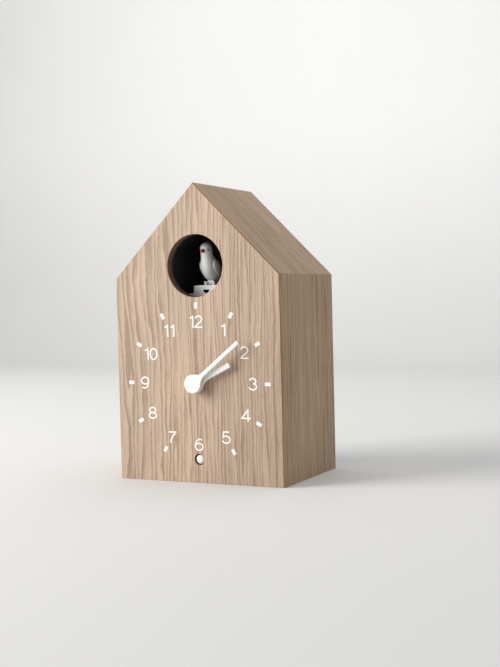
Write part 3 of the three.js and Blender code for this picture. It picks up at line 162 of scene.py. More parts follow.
class HandSettings(bpy.types.PropertyGroup):
    """Hour and minute hands."""
    hub_radius: FloatProperty(
        name="Hub radius", description="Radius of both hands' round hubs",
        default=7 * MM, unit="LENGTH")
    minute_length: FloatProperty(
        name="Minute hand", description="Length of the minute hand from its shaft",
        default=50 * MM, unit="LENGTH")
    minute_width: FloatProperty(
        name="Minute hand width", description="Width of the minute hand's arm",
        default=3.1 * MM, unit="LENGTH")
    hour_length: FloatProperty(
        name="Hour hand", description="Length of the hour hand from its shaft",
        default=33.3 * MM, unit="LENGTH")
    hour_width: FloatProperty(
        name="Hour hand width", description="Width of the hour hand's arm",
        default=4.1 * MM, unit="LENGTH")
    minutes: FloatProperty(
        name="Minutes shown", description="Minutes past the hour on the dial",
        default=8.55)
    hours: IntProperty(
        name="Hour shown", description="Hour on the dial", default=2, min=1, max=12)


class BirdSettings(bpy.types.PropertyGroup):
    """Bird in the window."""
    beak_radius: FloatProperty(
        name="Beak radius", description="Radius of the short round beak",
        default=1.5 * MM, unit="LENGTH")
    eye_radius: FloatProperty(
        name="Eye radius", description="Radius of an eye",
        default=0.65 * MM, unit="LENGTH")
    sides: IntProperty(
        name="Sides", description="Points round the bird's body before smoothing",
        default=24, min=8, max=64)


class ColourSettings(bpy.types.PropertyGroup):
    """Finishes."""
    veneer_light: FloatVectorProperty(
        name="Veneer, light", description="Pale wood between the year rings",
        default=(0.51, 0.376, 0.27), subtype="COLOR", size=3, min=0, max=1)
    veneer_dark: FloatVectorProperty(
        name="Veneer, dark", description="Darker streaks of the year rings",
        default=(0.315, 0.214, 0.143), subtype="COLOR", size=3, min=0, max=1)
    side_tone: FloatVectorProperty(
        name="Side tone", description="Tone of the sides' and roof's veneer against the front's",
        default=(1.02, 0.96, 0.81), subtype="COLOR", size=3, min=0, max=2)
    edge_stain: FloatVectorProperty(
        name="Cut edge", description="Stained board edge in the window and at the back",
        default=(0.18, 0.105, 0.05), subtype="COLOR", size=3, min=0, max=1)
    corner_stain: FloatVectorProperty(
        name="Corner", description="Stained chamfer round the front panel",
        default=(0.31, 0.175, 0.075), subtype="COLOR", size=3, min=0, max=1)
    white: FloatVectorProperty(
        name="White", description="Hands, numerals, bird and deck",
        default=(0.84, 0.84, 0.81), subtype="COLOR", size=3, min=0, max=1)
    black: FloatVectorProperty(
        name="Black", description="Bird chamber and back cover",
        default=(0.014, 0.014, 0.017), subtype="COLOR", size=3, min=0, max=1)
    beak: FloatVectorProperty(
        name="Beak", description="Red of the beak",
        default=(0.27, 0.006, 0.03), subtype="COLOR", size=3, min=0, max=1)


class StageSettings(bpy.types.PropertyGroup):
    """Floor, lights and camera."""
    lens: FloatProperty(
        name="Lens", description="Focal length on a 36 mm sensor", default=59.6, unit="CAMERA")
    camera: FloatVectorProperty(
        name="Camera place", description="Where the camera stands",
        default=(0.40738, -0.76708, 0.13904), subtype="XYZ", size=3, unit="LENGTH")
    turn: FloatVectorProperty(
        name="Camera turn", description="Heading to the left, tilt down and roll",
        default=(math.radians(26.764), math.radians(-1.923), math.radians(-1.418)),
        subtype="EULER", size=3)


SETTINGS = {
    "clock_case": CaseSettings,
    "clock_dial": DialSettings,
    "clock_hands": HandSettings,
    "clock_bird": BirdSettings,
    "clock_colours": ColourSettings,
    "clock_stage": StageSettings,
}


# ---------------------------------------------------------------- node trees

def node(tree, kind, inputs=None, **settings):
    """Adds a node; an input is given as a value or as the socket that feeds it."""
    made = tree.nodes.new(kind)
    for key, value in settings.items():
        setattr(made, key, value)
    for key, value in (inputs or {}).items():
        socket = made.inputs[key]
        if isinstance(value, bpy.types.NodeSocket):
            tree.links.new(value, socket)
        else:
            socket.default_value = value
    return made


def feed(tree, sockets, **values):
    """Links each value to the socket of that name."""
    for key, value in values.items():
        tree.links.new(value, sockets[key.replace("_", " ")])


def maths(tree, operation, *values, clamp=False):
    """One step of arithmetic."""
    inputs = dict(enumerate(values))
    return node(tree, "ShaderNodeMath", inputs, operation=operation, use_clamp=clamp).outputs[0]


def swing(tree, value, amount, centre=1.0, clamp=False):
    """A noise value turned into a swing of some amount about a centre."""
    off = maths(tree, "SUBTRACT", value, 0.5)
    return maths(tree, "MULTIPLY_ADD", off, amount, centre, clamp=clamp)


def mixed(tree, share, first, second, blend="MIX"):
    """Colour mix."""
    inputs = {0: share, 6: first, 7: second}
    return node(tree, "ShaderNodeMix", inputs, data_type="RGBA", blend_type=blend).outputs[2]


def shaded(tree, tone, value):
    """A colour made lighter or darker by a value."""
    grey = node(tree, "ShaderNodeCombineColor", {0: value, 1: value, 2: value}).outputs[0]
    return mixed(tree, 1.0, tone, grey, "MULTIPLY")


def vector_of(tree, x=0.0, y=0.0, z=0.0):
    """A vector from its three values."""
    return node(tree, "ShaderNodeCombineXYZ", {0: x, 1: y, 2: z}).outputs[0]


def spread(tree, value, start, end, to_start=0.0, to_end=1.0):
    """Smoothly stretches a value's range."""
    inputs = {0: value, 1: start, 2: end, 3: to_start, 4: to_end}
    return node(tree, "ShaderNodeMapRange", inputs, interpolation_type="SMOOTHSTEP").outputs[0]


def noise(tree, vector, scale=1.0, detail=2.0, rough=0.5):
    """Soft noise between 0 and 1; the scale is in cells to the metre."""
    inputs = {"Vector": vector, "Scale": scale, "Detail": detail, "Roughness": rough}
    return node(tree, "ShaderNodeTexNoise", inputs).outputs[0]


def stretched(tree, vector, factors):
    """A vector with each of its values multiplied."""
    inputs = {0: vector, 1: factors}
    return node(tree, "ShaderNodeVectorMath", inputs, operation="MULTIPLY").outputs[0]


def new_group(name, kind, inputs, outputs):
    """A node group with named sockets; inputs are (name, socket type, default)."""
    tree = bpy.data.node_groups.new(name, kind)
    for label, socket_type, default in inputs:
        socket = tree.interface.new_socket(label, in_out="INPUT", socket_type=socket_type)
        if default is not None:
            socket.default_value = default
    for label, socket_type in outputs:
        tree.interface.new_socket(label, in_out="OUTPUT", socket_type=socket_type)
    given = tree.nodes.new("NodeGroupInput").outputs
    return tree, given, tree.nodes.new("NodeGroupOutput").inputs


SURFACE_OUT = [
    ("Color", "NodeSocketColor"), ("Roughness", "NodeSocketFloat"), ("Height", "NodeSocketFloat"),
]


def grain_group():
    """Wood with its grain along Z: wavy year rings, sharp on one side, fibres and open pores."""
    tree, given, out = new_group("Ring-porous wood", "ShaderNodeTree", [
        ("Vector", "NodeSocketVector", None),
        ("Light", "NodeSocketColor", (0.6, 0.45, 0.3, 1)),
        ("Dark", "NodeSocketColor", (0.35, 0.25, 0.15, 1)),
        ("Ring Width", "NodeSocketFloat", 0.004),
        ("Crowding", "NodeSocketFloat", 0.0),
        ("Waver", "NodeSocketFloat", 0.006),
        ("Jag", "NodeSocketFloat", 0.0016),
        ("Contrast", "NodeSocketFloat", 1.0),
    ], SURFACE_OUT)
    vector = given["Vector"]
    x, y, z = node(tree, "ShaderNodeSeparateXYZ", {0: vector}).outputs

    # The trunk's slow drift and its small kinks move the rings sideways.
    drift = noise(tree, stretched(tree, vector, (14, 14, 7)), detail=1)
    kinks = noise(tree, stretched(tree, vector, (230, 230, 95)), detail=2.5)
    shift = swing(tree, drift, given["Waver"], swing(tree, kinks, given["Jag"], 0.0))
    across = maths(tree, "ADD", x, shift)
    deep = maths(tree, "MULTIPLY_ADD", shift, 0.6, y)

    # Rings are counted across the board, closer together to one side, and run unevenly.
    crowded = maths(tree, "MULTIPLY_ADD", across, given["Crowding"], 1.0)
    sideways = maths(tree, "DIVIDE", maths(tree, "MULTIPLY", across, crowded), given["Ring Width"])
    rings = maths(tree, "ADD", sideways, maths(tree, "DIVIDE", deep, given["Ring Width"]))
    along = maths(tree, "MULTIPLY", z, 9.0)
    place = vector_of(tree, maths(tree, "MULTIPLY", rings, 0.55), z=along)
    rings = maths(tree, "MULTIPLY_ADD", noise(tree, place, detail=1.5), 3.4, rings)
    year = maths(tree, "FLOOR", rings)
    share = maths(tree, "FRACT", rings)

    # Each year has its own strength, and fades from its sharp side to the next year's.
    luck = node(tree, "ShaderNodeTexWhiteNoise", {"W": year}, noise_dimensions="1D").outputs[0]
    patch_z = maths(tree, "MULTIPLY", z, 24)
    patches = noise(tree, vector_of(tree, maths(tree, "MULTIPLY", year, 3.7), z=patch_z), detail=1)
    lasting = spread(tree, luck, 0, 1, 0.55, 1.0)
    strength = maths(tree, "MULTIPLY", lasting, spread(tree, patches, 0.3, 0.6, 0.6, 1.0))
    fade = maths(tree, "POWER", maths(tree, "SUBTRACT", 1.0, share), 1.5)
    streak = maths(tree, "MULTIPLY", spread(tree, share, 0.0, 0.16), fade)
    streak = maths(tree, "MULTIPLY", streak, strength)
    contrast = maths(tree, "MULTIPLY", given["Contrast"], 1.35)
    streak = maths(tree, "MULTIPLY", streak, contrast, clamp=True)

    # Fibres, threads and pores are drawn out along the grain.
    fine = vector_of(tree, across, deep, maths(tree, "MULTIPLY", z, 0.045))
    fibre = noise(tree, fine, 1500, 3, 0.6)
    threads = noise(tree, fine, 520, 2, 0.6)
    specks = noise(tree, stretched(tree, fine, (1, 1, 1.8)), 2500, 1)
    in_streak = maths(tree, "MULTIPLY_ADD", streak, 0.9, 0.1)
    pores = maths(tree, "MULTIPLY", spread(tree, specks, 0.6, 0.69), in_streak)

    # Threads fray the streaks, and broad clouds and fibres shade the whole board.
    threaded = swing(tree, threads, 0.7, streak, clamp=True)
    toned = mixed(tree, threaded, given["Light"], given["Dark"])
    clouds = noise(tree, stretched(tree, vector, (22, 22, 6)), detail=1)
    broad = spread(tree, clouds, 0.3, 0.7, 0.92, 1.07)
    fibred = maths(tree, "MULTIPLY", broad, maths(tree, "MULTIPLY_ADD", fibre, 0.3, 0.85))
    toned = shaded(tree, toned, fibred)
    pore_tone = mixed(tree, 1.0, given["Dark"], (0.62, 0.6, 0.58, 1), "MULTIPLY")
    feed(
        tree, out,
        Color=mixed(tree, maths(tree, "MULTIPLY", pores, 0.7), toned, pore_tone),
        Roughness=maths(tree, "MULTIPLY_ADD", fibre, 0.16, 0.47),
        Height=maths(tree, "SUBTRACT", maths(tree, "MULTIPLY", fibre, 0.35), pores))
    return tree


def moulded_group():
    """Moulded plastic or paint: faint mottling, fine texture and a trace of dust."""
    tree, given, out = new_group("Moulded skin", "ShaderNodeTree", [
        ("Vector", "NodeSocketVector", None),
        ("Tone", "NodeSocketColor", (0.5, 0.5, 0.5, 1)),
        ("Texture Size", "NodeSocketFloat", 0.0006),
        ("Mottle", "NodeSocketFloat", 0.06),
        ("Gloss Loss", "NodeSocketFloat", 0.45),
    ], SURFACE_OUT)
    vector = given["Vector"]
    cells = noise(tree, vector, maths(tree, "DIVIDE", 1.0, given["Texture Size"]), 2.5, 0.6)
    tone = shaded(tree, given["Tone"], swing(tree, noise(tree, vector, 60), given["Mottle"]))
    dust = spread(tree, noise(tree, vector, 2400, 1), 0.7, 0.78)
    feed(
        tree, out,
        Color=mixed(tree, maths(tree, "MULTIPLY", dust, 0.05), tone, (0.5, 0.48, 0.45, 1)),
        Roughness=swing(tree, cells, 0.16, given["Gloss Loss"]),
        Height=cells)
    return tree


def drawn_group():
    """Metal with fine drawn lines along one axis and a little tarnish."""
    tree, given, out = new_group("Drawn metal", "ShaderNodeTree", [
        ("Vector", "NodeSocketVector", None),
        ("Tone", "NodeSocketColor", (0.6, 0.6, 0.6, 1)),
        ("Tarnish", "NodeSocketColor", (0.3, 0.28, 0.25, 1)),
    ], SURFACE_OUT)
    vector = given["Vector"]
    lines = noise(tree, stretched(tree, vector, (4000, 4000, 260)))
    stains = spread(tree, noise(tree, vector, 160, 3), 0.5, 0.8)
    feed(
        tree, out,
        Color=mixed(tree, maths(tree, "MULTIPLY", stains, 0.35), given["Tone"], given["Tarnish"]),
        Roughness=maths(tree, "MULTIPLY_ADD", lines, 0.25, 0.2),
        Height=lines)
    return tree


# ---------------------------------------------------------------- materials

def new_material(name):
    """A material, its node tree and its Principled shader."""
    material = bpy.data.materials.new(name)
    material.use_nodes = True
    tree = material.node_tree
    return material, tree, tree.nodes["Principled BSDF"]


SHADER_SOCKETS = {"metallic": "Metallic", "coat": "Coat Weight", "specular": "Specular IOR Level"}


def surfaced(name, group, inputs, bump, turn=(0, 0, 0), shift=(0, 0, 0), **shader_values):
    """A material whose colour, roughness and bump come from one of the groups."""
    material, tree, shader = new_material(name)
    place = node(tree, "ShaderNodeTexCoord").outputs["Object"]
    mapping = {"Vector": place, "Location": shift, "Rotation": turn}
    place = node(tree, "ShaderNodeMapping", mapping, vector_type="POINT").outputs[0]
    skin = node(tree, "ShaderNodeGroup", {"Vector": place, **inputs}, node_tree=group)
    raised = {"Height": skin.outputs["Height"], "Distance": bump, "Strength": 0.6}
    feed(
        tree, shader.inputs,
        Base_Color=skin.outputs["Color"], Roughness=skin.outputs["Roughness"],
        Normal=node(tree, "ShaderNodeBump", raised).outputs[0])
    for key, value in shader_values.items():
        shader.inputs[SHADER_SOCKETS[key]].default_value = value
    return material


def opaque(colour, share=1.0):
    """A colour with full alpha, multiplied by a number or by a tone."""
    shares = (share,) * 3 if isinstance(share, float) else share
    return (*(c * s for c, s in zip(colour, shares)), 1)


# Turn that lays each board's grain along the pattern's Z, and where in the flitch it was cut.
BOARD_GRAIN = {
    "front_panel": ((0, 0, 0), (0, 0.2, 0.45)),
    "left_side_panel": ((0, 0, 0), (0.62, 0.9, 0.1)),
    "right_side_panel": ((0, 0, 0), (0.83, 0.4, 0.7)),
    "right_roof_panel": ((0, QUARTER / 2, 0), (0.2, 0.55, 0.3)),
    "left_roof_panel": ((0, -QUARTER / 2, 0), (0.5, 0.15, 0.9)),
    "base_panel": ((0, QUARTER, 0), (0.7, 0.3, 0.2)),
}

FRONT_GRAIN = {
    "Ring Width": 3.6 * MM, "Crowding": 3.2, "Waver": 7 * MM, "Jag": 1.4 * MM, "Contrast": 1.6,
}
SIDE_GRAIN = {
    "Ring Width": 3.4 * MM, "Crowding": 0.0, "Waver": 3 * MM, "Jag": 0.6 * MM, "Contrast": 1.6,
}

finish = {}


def make_finishes(colours):
    """Every material of the clock."""
    grain, moulded, drawn = grain_group(), moulded_group(), drawn_group()
    for board, (turn, shift) in BOARD_GRAIN.items():
        tone = 1.0 if board == "front_panel" else colours.side_tone
        wood = {
            "Light": opaque(colours.veneer_light, tone), "Dark": opaque(colours.veneer_dark, tone),
            **(FRONT_GRAIN if board == "front_panel" else SIDE_GRAIN),
        }
        title = f"Ash veneer, {board}"
        finish[board] = surfaced(title, grain, wood, 0.12 * MM, turn=turn, shift=shift)
    for name, tone in (("cut_edge", colours.edge_stain), ("corner", colours.corner_stain)):
        stain = {
            "Light": opaque(tone, 1.2), "Dark": opaque(tone, 0.75),
            "Ring Width": 2 * MM, "Waver": 2 * MM,
        }
        finish[name] = surfaced(f"Stained {name}", grain, stain, 0.15 * MM, turn=(QUARTER, 0, 0))
    pine = {"Light": (0.7, 0.5, 0.29, 1), "Dark": (0.5, 0.3, 0.15, 1), "Ring Width": 5 * MM}
    finish["pine"] = surfaced("Bare pine", grain, pine, 0.1 * MM)

    def plastic(name, tone, gloss_loss, size, bump, mottle=0.06, **shader_values):
        """Moulded plastic or paint; its texture's size and depth are in millimetres."""
        inputs = {
            "Tone": tone, "Texture Size": size * MM, "Mottle": mottle, "Gloss Loss": gloss_loss,
        }
        title = name.replace("_", " ").capitalize()
        finish[name] = surfaced(title, moulded, inputs, bump * MM, **shader_values)

    white, black = colours.white, colours.black
    plastic("white_hands", opaque(white, 0.96), 0.42, 0.9, 0.01, mottle=0.03)
    plastic("dial_ink", opaque(white, 1.02), 0.62, 0.4, 0.02, mottle=0.05)
    plastic("white_plastic", opaque(white, 0.97), 0.4, 0.7, 0.02)
    plastic("black_plastic", opaque(black), 0.52, 0.5, 0.08)
    plastic("chamber_black", opaque(black, 3.0), 0.75, 0.8, 0.05, specular=0.2)
    plastic("red_plastic", opaque(colours.beak), 0.45, 0.8, 0.01)
    plastic("grey_plastic", (0.21, 0.215, 0.22, 1), 0.45, 0.6, 0.04)
    plastic("nylon", (0.78, 0.75, 0.68, 1), 0.45, 0.8, 0.02)
    plastic("circuit_laminate", (0.02, 0.12, 0.05, 1), 0.3, 1.2, 0.03, mottle=0.3, coat=0.4)
    plastic("sensor_dome", (0.86, 0.86, 0.8, 1), 0.16, 2.0, 0.01, mottle=0.04, coat=0.6)
    plastic("eye_black", (0.01, 0.01, 0.01, 1), 0.15, 2.0, 0.01, coat=0.8)
    for name, tone, tarnish in (
        ("steel", (0.62, 0.62, 0.61, 1), (0.42, 0.4, 0.37, 1)),
        ("brass", (0.72, 0.52, 0.22, 1), (0.4, 0.27, 0.12, 1)),
        ("copper_coil", (0.62, 0.26, 0.11, 1), (0.3, 0.12, 0.06, 1)),
    ):
        inputs = {"Tone": tone, "Tarnish": tarnish}
        finish[name] = surfaced(name.capitalize(), drawn, inputs, 0.02 * MM, metallic=1.0)
    finish["bellows_cloth"] = woven_cloth()


def woven_cloth():
    """Thin airtight bellows cloth."""
    material, tree, shader = new_material("Bellows cloth")
    place = node(tree, "ShaderNodeTexCoord").outputs["Object"]
    warp = {"Vector": place, "Scale": 420, "Distortion": 0.6, "Detail": 1}
    threads = node(tree, "ShaderNodeTexWave", warp, bands_direction="X").outputs[1]
    weft = node(tree, "ShaderNodeTexWave", warp, bands_direction="Y").outputs[1]
    weave = maths(tree, "MULTIPLY", threads, weft)
    raised = {"Height": weave, "Distance": 0.05 * MM}
    feed(
        tree, shader.inputs,
        Base_Color=mixed(tree, weave, (0.03, 0.026, 0.024, 1), (0.075, 0.066, 0.06, 1)),
        Roughness=maths(tree, "MULTIPLY_ADD", weave, 0.1, 0.8),
        Normal=node(tree, "ShaderNodeBump", raised).outputs[0])
    return material


# ---------------------------------------------------------------- making pieces

FLAT_AREA = 60 * MM ** 2


def standing(name, data):
    """A new object in the scene."""
    obj = bpy.data.objects.new(name, data)
    bpy.context.scene.collection.objects.link(obj)
    return obj


def mesh_of(name, bm):
    """A mesh from a bmesh, which is freed."""
    mesh = bpy.data.meshes.new(name)
    bm.to_mesh(mesh)
    bm.free()
    return mesh


def applied(obj, *helpers):
    """The mesh that an object's modifiers make; the object and its helpers are removed."""
    graph = bpy.context.evaluated_depsgraph_get()
    mesh = bpy.data.meshes.new_from_object(obj.evaluated_get(graph))
    obj.modifiers.clear()
    for done in (obj, *helpers):
        bpy.data.objects.remove(done)
    return mesh


def piece(name, mesh, finishes, body, stands_for=(), smooth=35):
    """Turns a mesh or bmesh into a piece, smooth except at edges sharper than the angle."""
    if isinstance(mesh, bmesh.types.BMesh):
        mesh = mesh_of(name, mesh)
    mesh.name = name
    obj = standing(name, mesh)
    if not mesh.materials:
        for key in finishes:
            mesh.materials.append(finish[key])
    mesh.shade_smooth()
    mesh.set_sharp_from_angle(angle=math.radians(smooth))
    for face in mesh.polygons:
        face.use_smooth = face.area < FLAT_AREA
    if body:
        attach(obj, body)
    if stands_for:
        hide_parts(*stands_for)
    return obj


def body_of_node(name):
    """The body that a frame node moves with."""
    bodies = frame["record"]["behaviour"]["bodies"]
    return next(body for body, nodes in bodies.items() if name in nodes)


def slot_of_node(name):
    """The material slot of a frame node."""
    return next(s["material_slot"] for s in frame["record"]["subparts"] if s["node"] == name)


def merged_copy(name):
    """A frame node's mesh with its loose triangles joined and its flat faces made whole."""
    bm = bmesh.new()
    bm.from_mesh(frame["nodes"][name].data)
    bmesh.ops.remove_doubles(bm, verts=bm.verts, dist=2 * MERGE)
    bmesh.ops.dissolve_limit(
        bm, angle_limit=math.radians(0.5), use_dissolve_boundaries=False,
        verts=bm.verts, edges=bm.edges)
    return bm


def ease(bm, width, segments=2, angle=28, only=lambda edge: True, material=-1):
    """Rounds the edges sharper than an angle."""
    sharp = math.radians(angle)
    edges = [
        e for e in bm.edges
        if len(e.link_faces) == 2 and e.calc_face_angle() > sharp and only(e)
    ]
    bmesh.ops.bevel(
        bm, geom=edges, offset=width, segments=segments, profile=0.5, affect="EDGES",
        clamp_overlap=True, material=material)


def in_plane(edge, y):
    """Whether both ends of an edge lie at a depth."""
    return all(abs(v.co.y - y) < MERGE for v in edge.verts)


def eased_node(name, finish_key, width):
    """A finished piece that keeps a frame node's shape and gets rounded edges."""
    bm = merged_copy(name)
    ease(bm, width)
    body, slot = body_of_node(name), slot_of_node(name)
    return piece(name + "_finished", bm, [finish_key], body, [name])


def skin(loops):
    """A closed bmesh of quads between rows of points, with the end rows filled."""
    bm = bmesh.new()
    rows = [[bm.verts.new(p) for p in loop] for loop in loops]
    count = len(rows[0])
    for a, b in zip(rows, rows[1:]):
        for i in range(count):
            j = (i + 1) % count
            bm.faces.new((a[i], a[j], b[j], b[i]))
    bm.faces.new(list(reversed(rows[0])))
    bm.faces.new(rows[-1])
    bmesh.ops.recalc_face_normals(bm, faces=bm.faces)
    return bm


def disc_points(radius, count, y, centre=(0, 0)):
    """Points round a circle that faces the front."""
    turns = [TAU * k / count for k in range(count)]
    x, z = centre
    return [Vector((x + radius * math.cos(t), y, z + radius * math.sin(t))) for t in turns]


def carve(bm, cutters):
    """Cuts closed bmeshes out of a bmesh."""
    target = standing("blank", mesh_of("blank", bm))
    tools = [standing("tool", mesh_of("tool", cutter)) for cutter in cutters]
    for tool in tools:
        modifier = target.modifiers.new("cut", "BOOLEAN")
        modifier.object = tool
        modifier.operation = "DIFFERENCE"
        modifier.solver = "EXACT"
    result = bmesh.new()
    result.from_mesh(applied(target, *tools))
    return result


def round_tool(radius, stations, centre, count):
    """A closed round bar along Y with a ring of edges at each station."""
    return skin([disc_points(radius, count, y, centre) for y in stations])


# ---------------------------------------------------------------- the wooden case

GABLE = [
    (-HALF_WIDTH, 0), (HALF_WIDTH, 0), (HALF_WIDTH, EAVE), (0, RIDGE), (-HALF_WIDTH, EAVE),
]
BOARD_NAMES = [
    "base_panel", "right_side_panel", "right_roof_panel", "left_roof_panel", "left_side_panel",
]
MARGIN = 1 * MM


def inset(points, distance):
    """An outline moved inwards."""
    moved = []
    for i, point in enumerate(points):
        here = Vector(point)
        before = (here - Vector(points[i - 1])).normalized()
        after = (Vector(points[(i + 1) % len(points)]) - here).normalized()
        normals = [Vector((-d.y, d.x)) for d in (before, after)]
        share = distance / (1 + normals[0].dot(normals[1]))
        moved.append(here + (normals[0] + normals[1]) * share)
    return moved


def front_panel(case):
    """The front board with its window, shaft hole and sensor hole."""
    outer = [Vector((x, FRONT, z)) for x, z in GABLE]
    inner = [Vector((p.x, PANEL_BACK, p.y)) for p in inset(GABLE, BOARD + case.seam)]
    ends = (FRONT - MARGIN, PANEL_BACK + MARGIN)
    shade_painted_from = FRONT + case.lining_depth
    window = (ends[0], shade_painted_from, ends[1])
    bm = carve(skin([outer, inner]), [
        round_tool(case.hole_radius, window, (WINDOW.x, WINDOW.z), 160),
        round_tool(case.bush_hole_radius, ends, (DIAL.x, DIAL.z), 64),
        round_tool(case.sensor_hole_radius, ends, (SENSOR.x, SENSOR.z), 64),
    ])
    bmesh.ops.remove_doubles(bm, verts=bm.verts, dist=MERGE)
    bm.normal_update()
    finishes = ["front_panel", "cut_edge", "corner", "chamber_black"]
    # Hole walls get the stained edge. The window's wall behind the set depth gets black, as painted shade.
    for face in bm.faces:
        if abs(face.normal.y) < 0.1:
            in_painted_shade = face.calc_center_median().y > shade_painted_from
            face.material_index = finishes.index("chamber_black" if in_painted_shade else "cut_edge")

    def on_rim(edge):
        return in_plane(edge, FRONT) and edge.calc_length() > 20 * MM

    def on_right(edge):
        middle = (edge.verts[0].co + edge.verts[1].co) / 2
        return on_rim(edge) and middle.x > MARGIN and middle.z > MARGIN

    ease(bm, case.corner, 3, 20, on_right, finishes.index("corner"))
    veneer = finishes.index("front_panel")
    ease(bm, case.edge, 3, 20, on_rim, veneer)
    ease(bm, case.edge * 1.6, 3, 60, lambda e: in_plane(e, FRONT) and not on_rim(e), veneer)
    return piece("front_board", bm, finishes, "case", ["front_panel"], smooth=40)


def shell_board(index, case):
    """One board of the shell, mitred to its neighbours and to the front board."""
    name = BOARD_NAMES[index]
    after = (index + 1) % len(GABLE)
    inside = inset(GABLE, BOARD)
    a, b = Vector(GABLE[index]), Vector(GABLE[after])
    along = (b - a).normalized() * case.seam / 2
    corners = [a + along, b - along, inside[after] - along, inside[index] + along]
    near = [y + case.seam for y in (FRONT, FRONT, PANEL_BACK, PANEL_BACK)]
    bm = skin([
        [Vector((p.x, y, p.y)) for p, y in zip(corners, near)],
        [Vector((p.x, BACK, p.y)) for p in corners],
    ])
    bm.normal_update()
    finishes = [name, "cut_edge", "corner"]
    for face in bm.faces:
        face.material_index = finishes.index("cut_edge" if face.normal.y > 0.9 else name)

    def on_front(edge):
        return all(v.co.y < FRONT + 2 * case.seam for v in edge.verts)

    stained = name in ("right_side_panel", "right_roof_panel")
    ease(bm, case.corner / 3, 3, 20, on_front, finishes.index("corner" if stained else name))
    ease(bm, case.edge, 3, 20, lambda e: not on_front(e))
    return piece(name.replace("panel", "board"), bm, finishes, "case", [name])


# ---------------------------------------------------------------- the dial

def arc(cx, cz, rx, rz, start, end, steps=18):
    """Points on an ellipse from one angle to another, in degrees."""
    turns = [math.radians(start + (end - start) * k / steps) for k in range(steps + 1)]
    return [(cx + rx * math.cos(t), cz + rz * math.sin(t)) for t in turns]


# Strokes of each figure along their middles, in a box one unit high.
LEFT, RIGHT, MIDDLE = 0.055, 0.655, 0.355
TOP, BOTTOM = 0.947, 0.053
BOWL = (RIGHT - LEFT) / 2
FIGURES = {
    "0": [arc(MIDDLE, 0.5, BOWL, TOP - 0.5, 90, 450, 48)],
    "1": [[(0.29, 1.0), (0.29, 0.0)], [(0.02, 0.80)] + arc(0.06, 0.99, 0.21, 0.19, -80, -5, 6)],
    "2": [arc(MIDDLE, 0.70, BOWL - 0.02, TOP - 0.70, 172, -32, 22)
          + [(0.50, 0.45), (0.24, 0.27), (0.10, 0.13), (0.065, 0.03)],
          [(0.01, BOTTOM), (0.68, BOTTOM)]],
    "3": [arc(MIDDLE, 0.73, BOWL - 0.04, TOP - 0.73, 168, -80, 22),
          arc(MIDDLE, 0.295, BOWL, 0.295 - BOTTOM, 82, -168, 24)],
    "4": [[(0.50, 0.0), (0.50, 1.0)], [(0.51, 0.965), (0.045, 0.25)], [(0.01, 0.27), (0.69, 0.27)]],
    "5": [[(0.61, TOP), (0.125, TOP)], [(0.165, 0.97), (0.108, 0.455)],
          arc(MIDDLE, 0.335, BOWL, 0.335 - BOTTOM, 150, -165, 30)],
    "6": [arc(MIDDLE, 0.335, BOWL, 0.335 - BOTTOM, 0, 360, 40),
          arc(0.41, 0.40, 0.355, 0.55, 195, 60, 20)],
    "7": [[(0.05, TOP), (0.71, TOP)], [(0.665, 0.965)] + arc(0.86, 0.02, 0.66, 0.83, 122, 178, 12)],
    "8": [arc(MIDDLE, 0.725, BOWL - 0.055, TOP - 0.725, 0, 360, 36),
          arc(MIDDLE, 0.28, BOWL, 0.28 - BOTTOM, 0, 360, 40)],
    "9": [arc(MIDDLE, 0.665, BOWL, TOP - 0.665, 0, 360, 40),
          arc(0.30, 0.60, 0.355, 0.55, 15, -120, 20)],
}
FIGURE_WIDTH = dict.fromkeys("023456789", 0.71) | {"1": 0.345}
FIGURE_STRETCH = {
    "0": 1.08, "1": 1.08, "2": 1.06, "3": 1.07, "4": 1.24,
    "5": 1.15, "6": 1.11, "7": 1.08, "8": 1.11, "9": 1.11,
}
GAP, WIDE_GAP = 0.07, 0.2
MITRE_LIMIT = 0.35
SUNK = 0.02 * MM

# How far some hours sit from their place on the circle, in millimetres.
HOUR_SHIFT = {1: (-0.1, -0.3), 7: (0, -1.5), 10: (0, -1.2), 11: (-0.2, -0.4)}


def ribbon(bm, points, width, y_face, y_back):
    """A flat band of ink along a line of points in the X-Z plane."""
    points = [Vector(p) for p in points]
    closed = (points[0] - points[-1]).length < MERGE
    if closed:
        points = points[:-1]
    count = len(points)
    rows = []
    for i, here in enumerate(points):
        before = points[i - 1] if closed or i else None
        after = points[(i + 1) % count] if closed or i < count - 1 else None
        ways = [
            (b - a).normalized() for a, b in ((before, here), (here, after))
            if a is not None and b is not None
        ]
        side = sum((Vector((-w.y, w.x)) for w in ways), Vector((0, 0))) / len(ways)
        reach = width / 2 / max(MITRE_LIMIT, side.length ** 2) * side
        left, right = here + reach, here - reach
        rows.append([bm.verts.new((p.x, y, p.y)) for p, y in (
            (left, y_face), (right, y_face), (right, y_back), (left, y_back))])
    following = rows[1:] + rows[:1] if closed else rows[1:]
    for a, b in zip(rows, following):
        for k in range(4):
            j = (k + 1) % 4
            bm.faces.new((a[k], a[j], b[j], b[k]))
    if not closed:
        bm.faces.new(rows[0])
        bm.faces.new(list(reversed(rows[-1])))


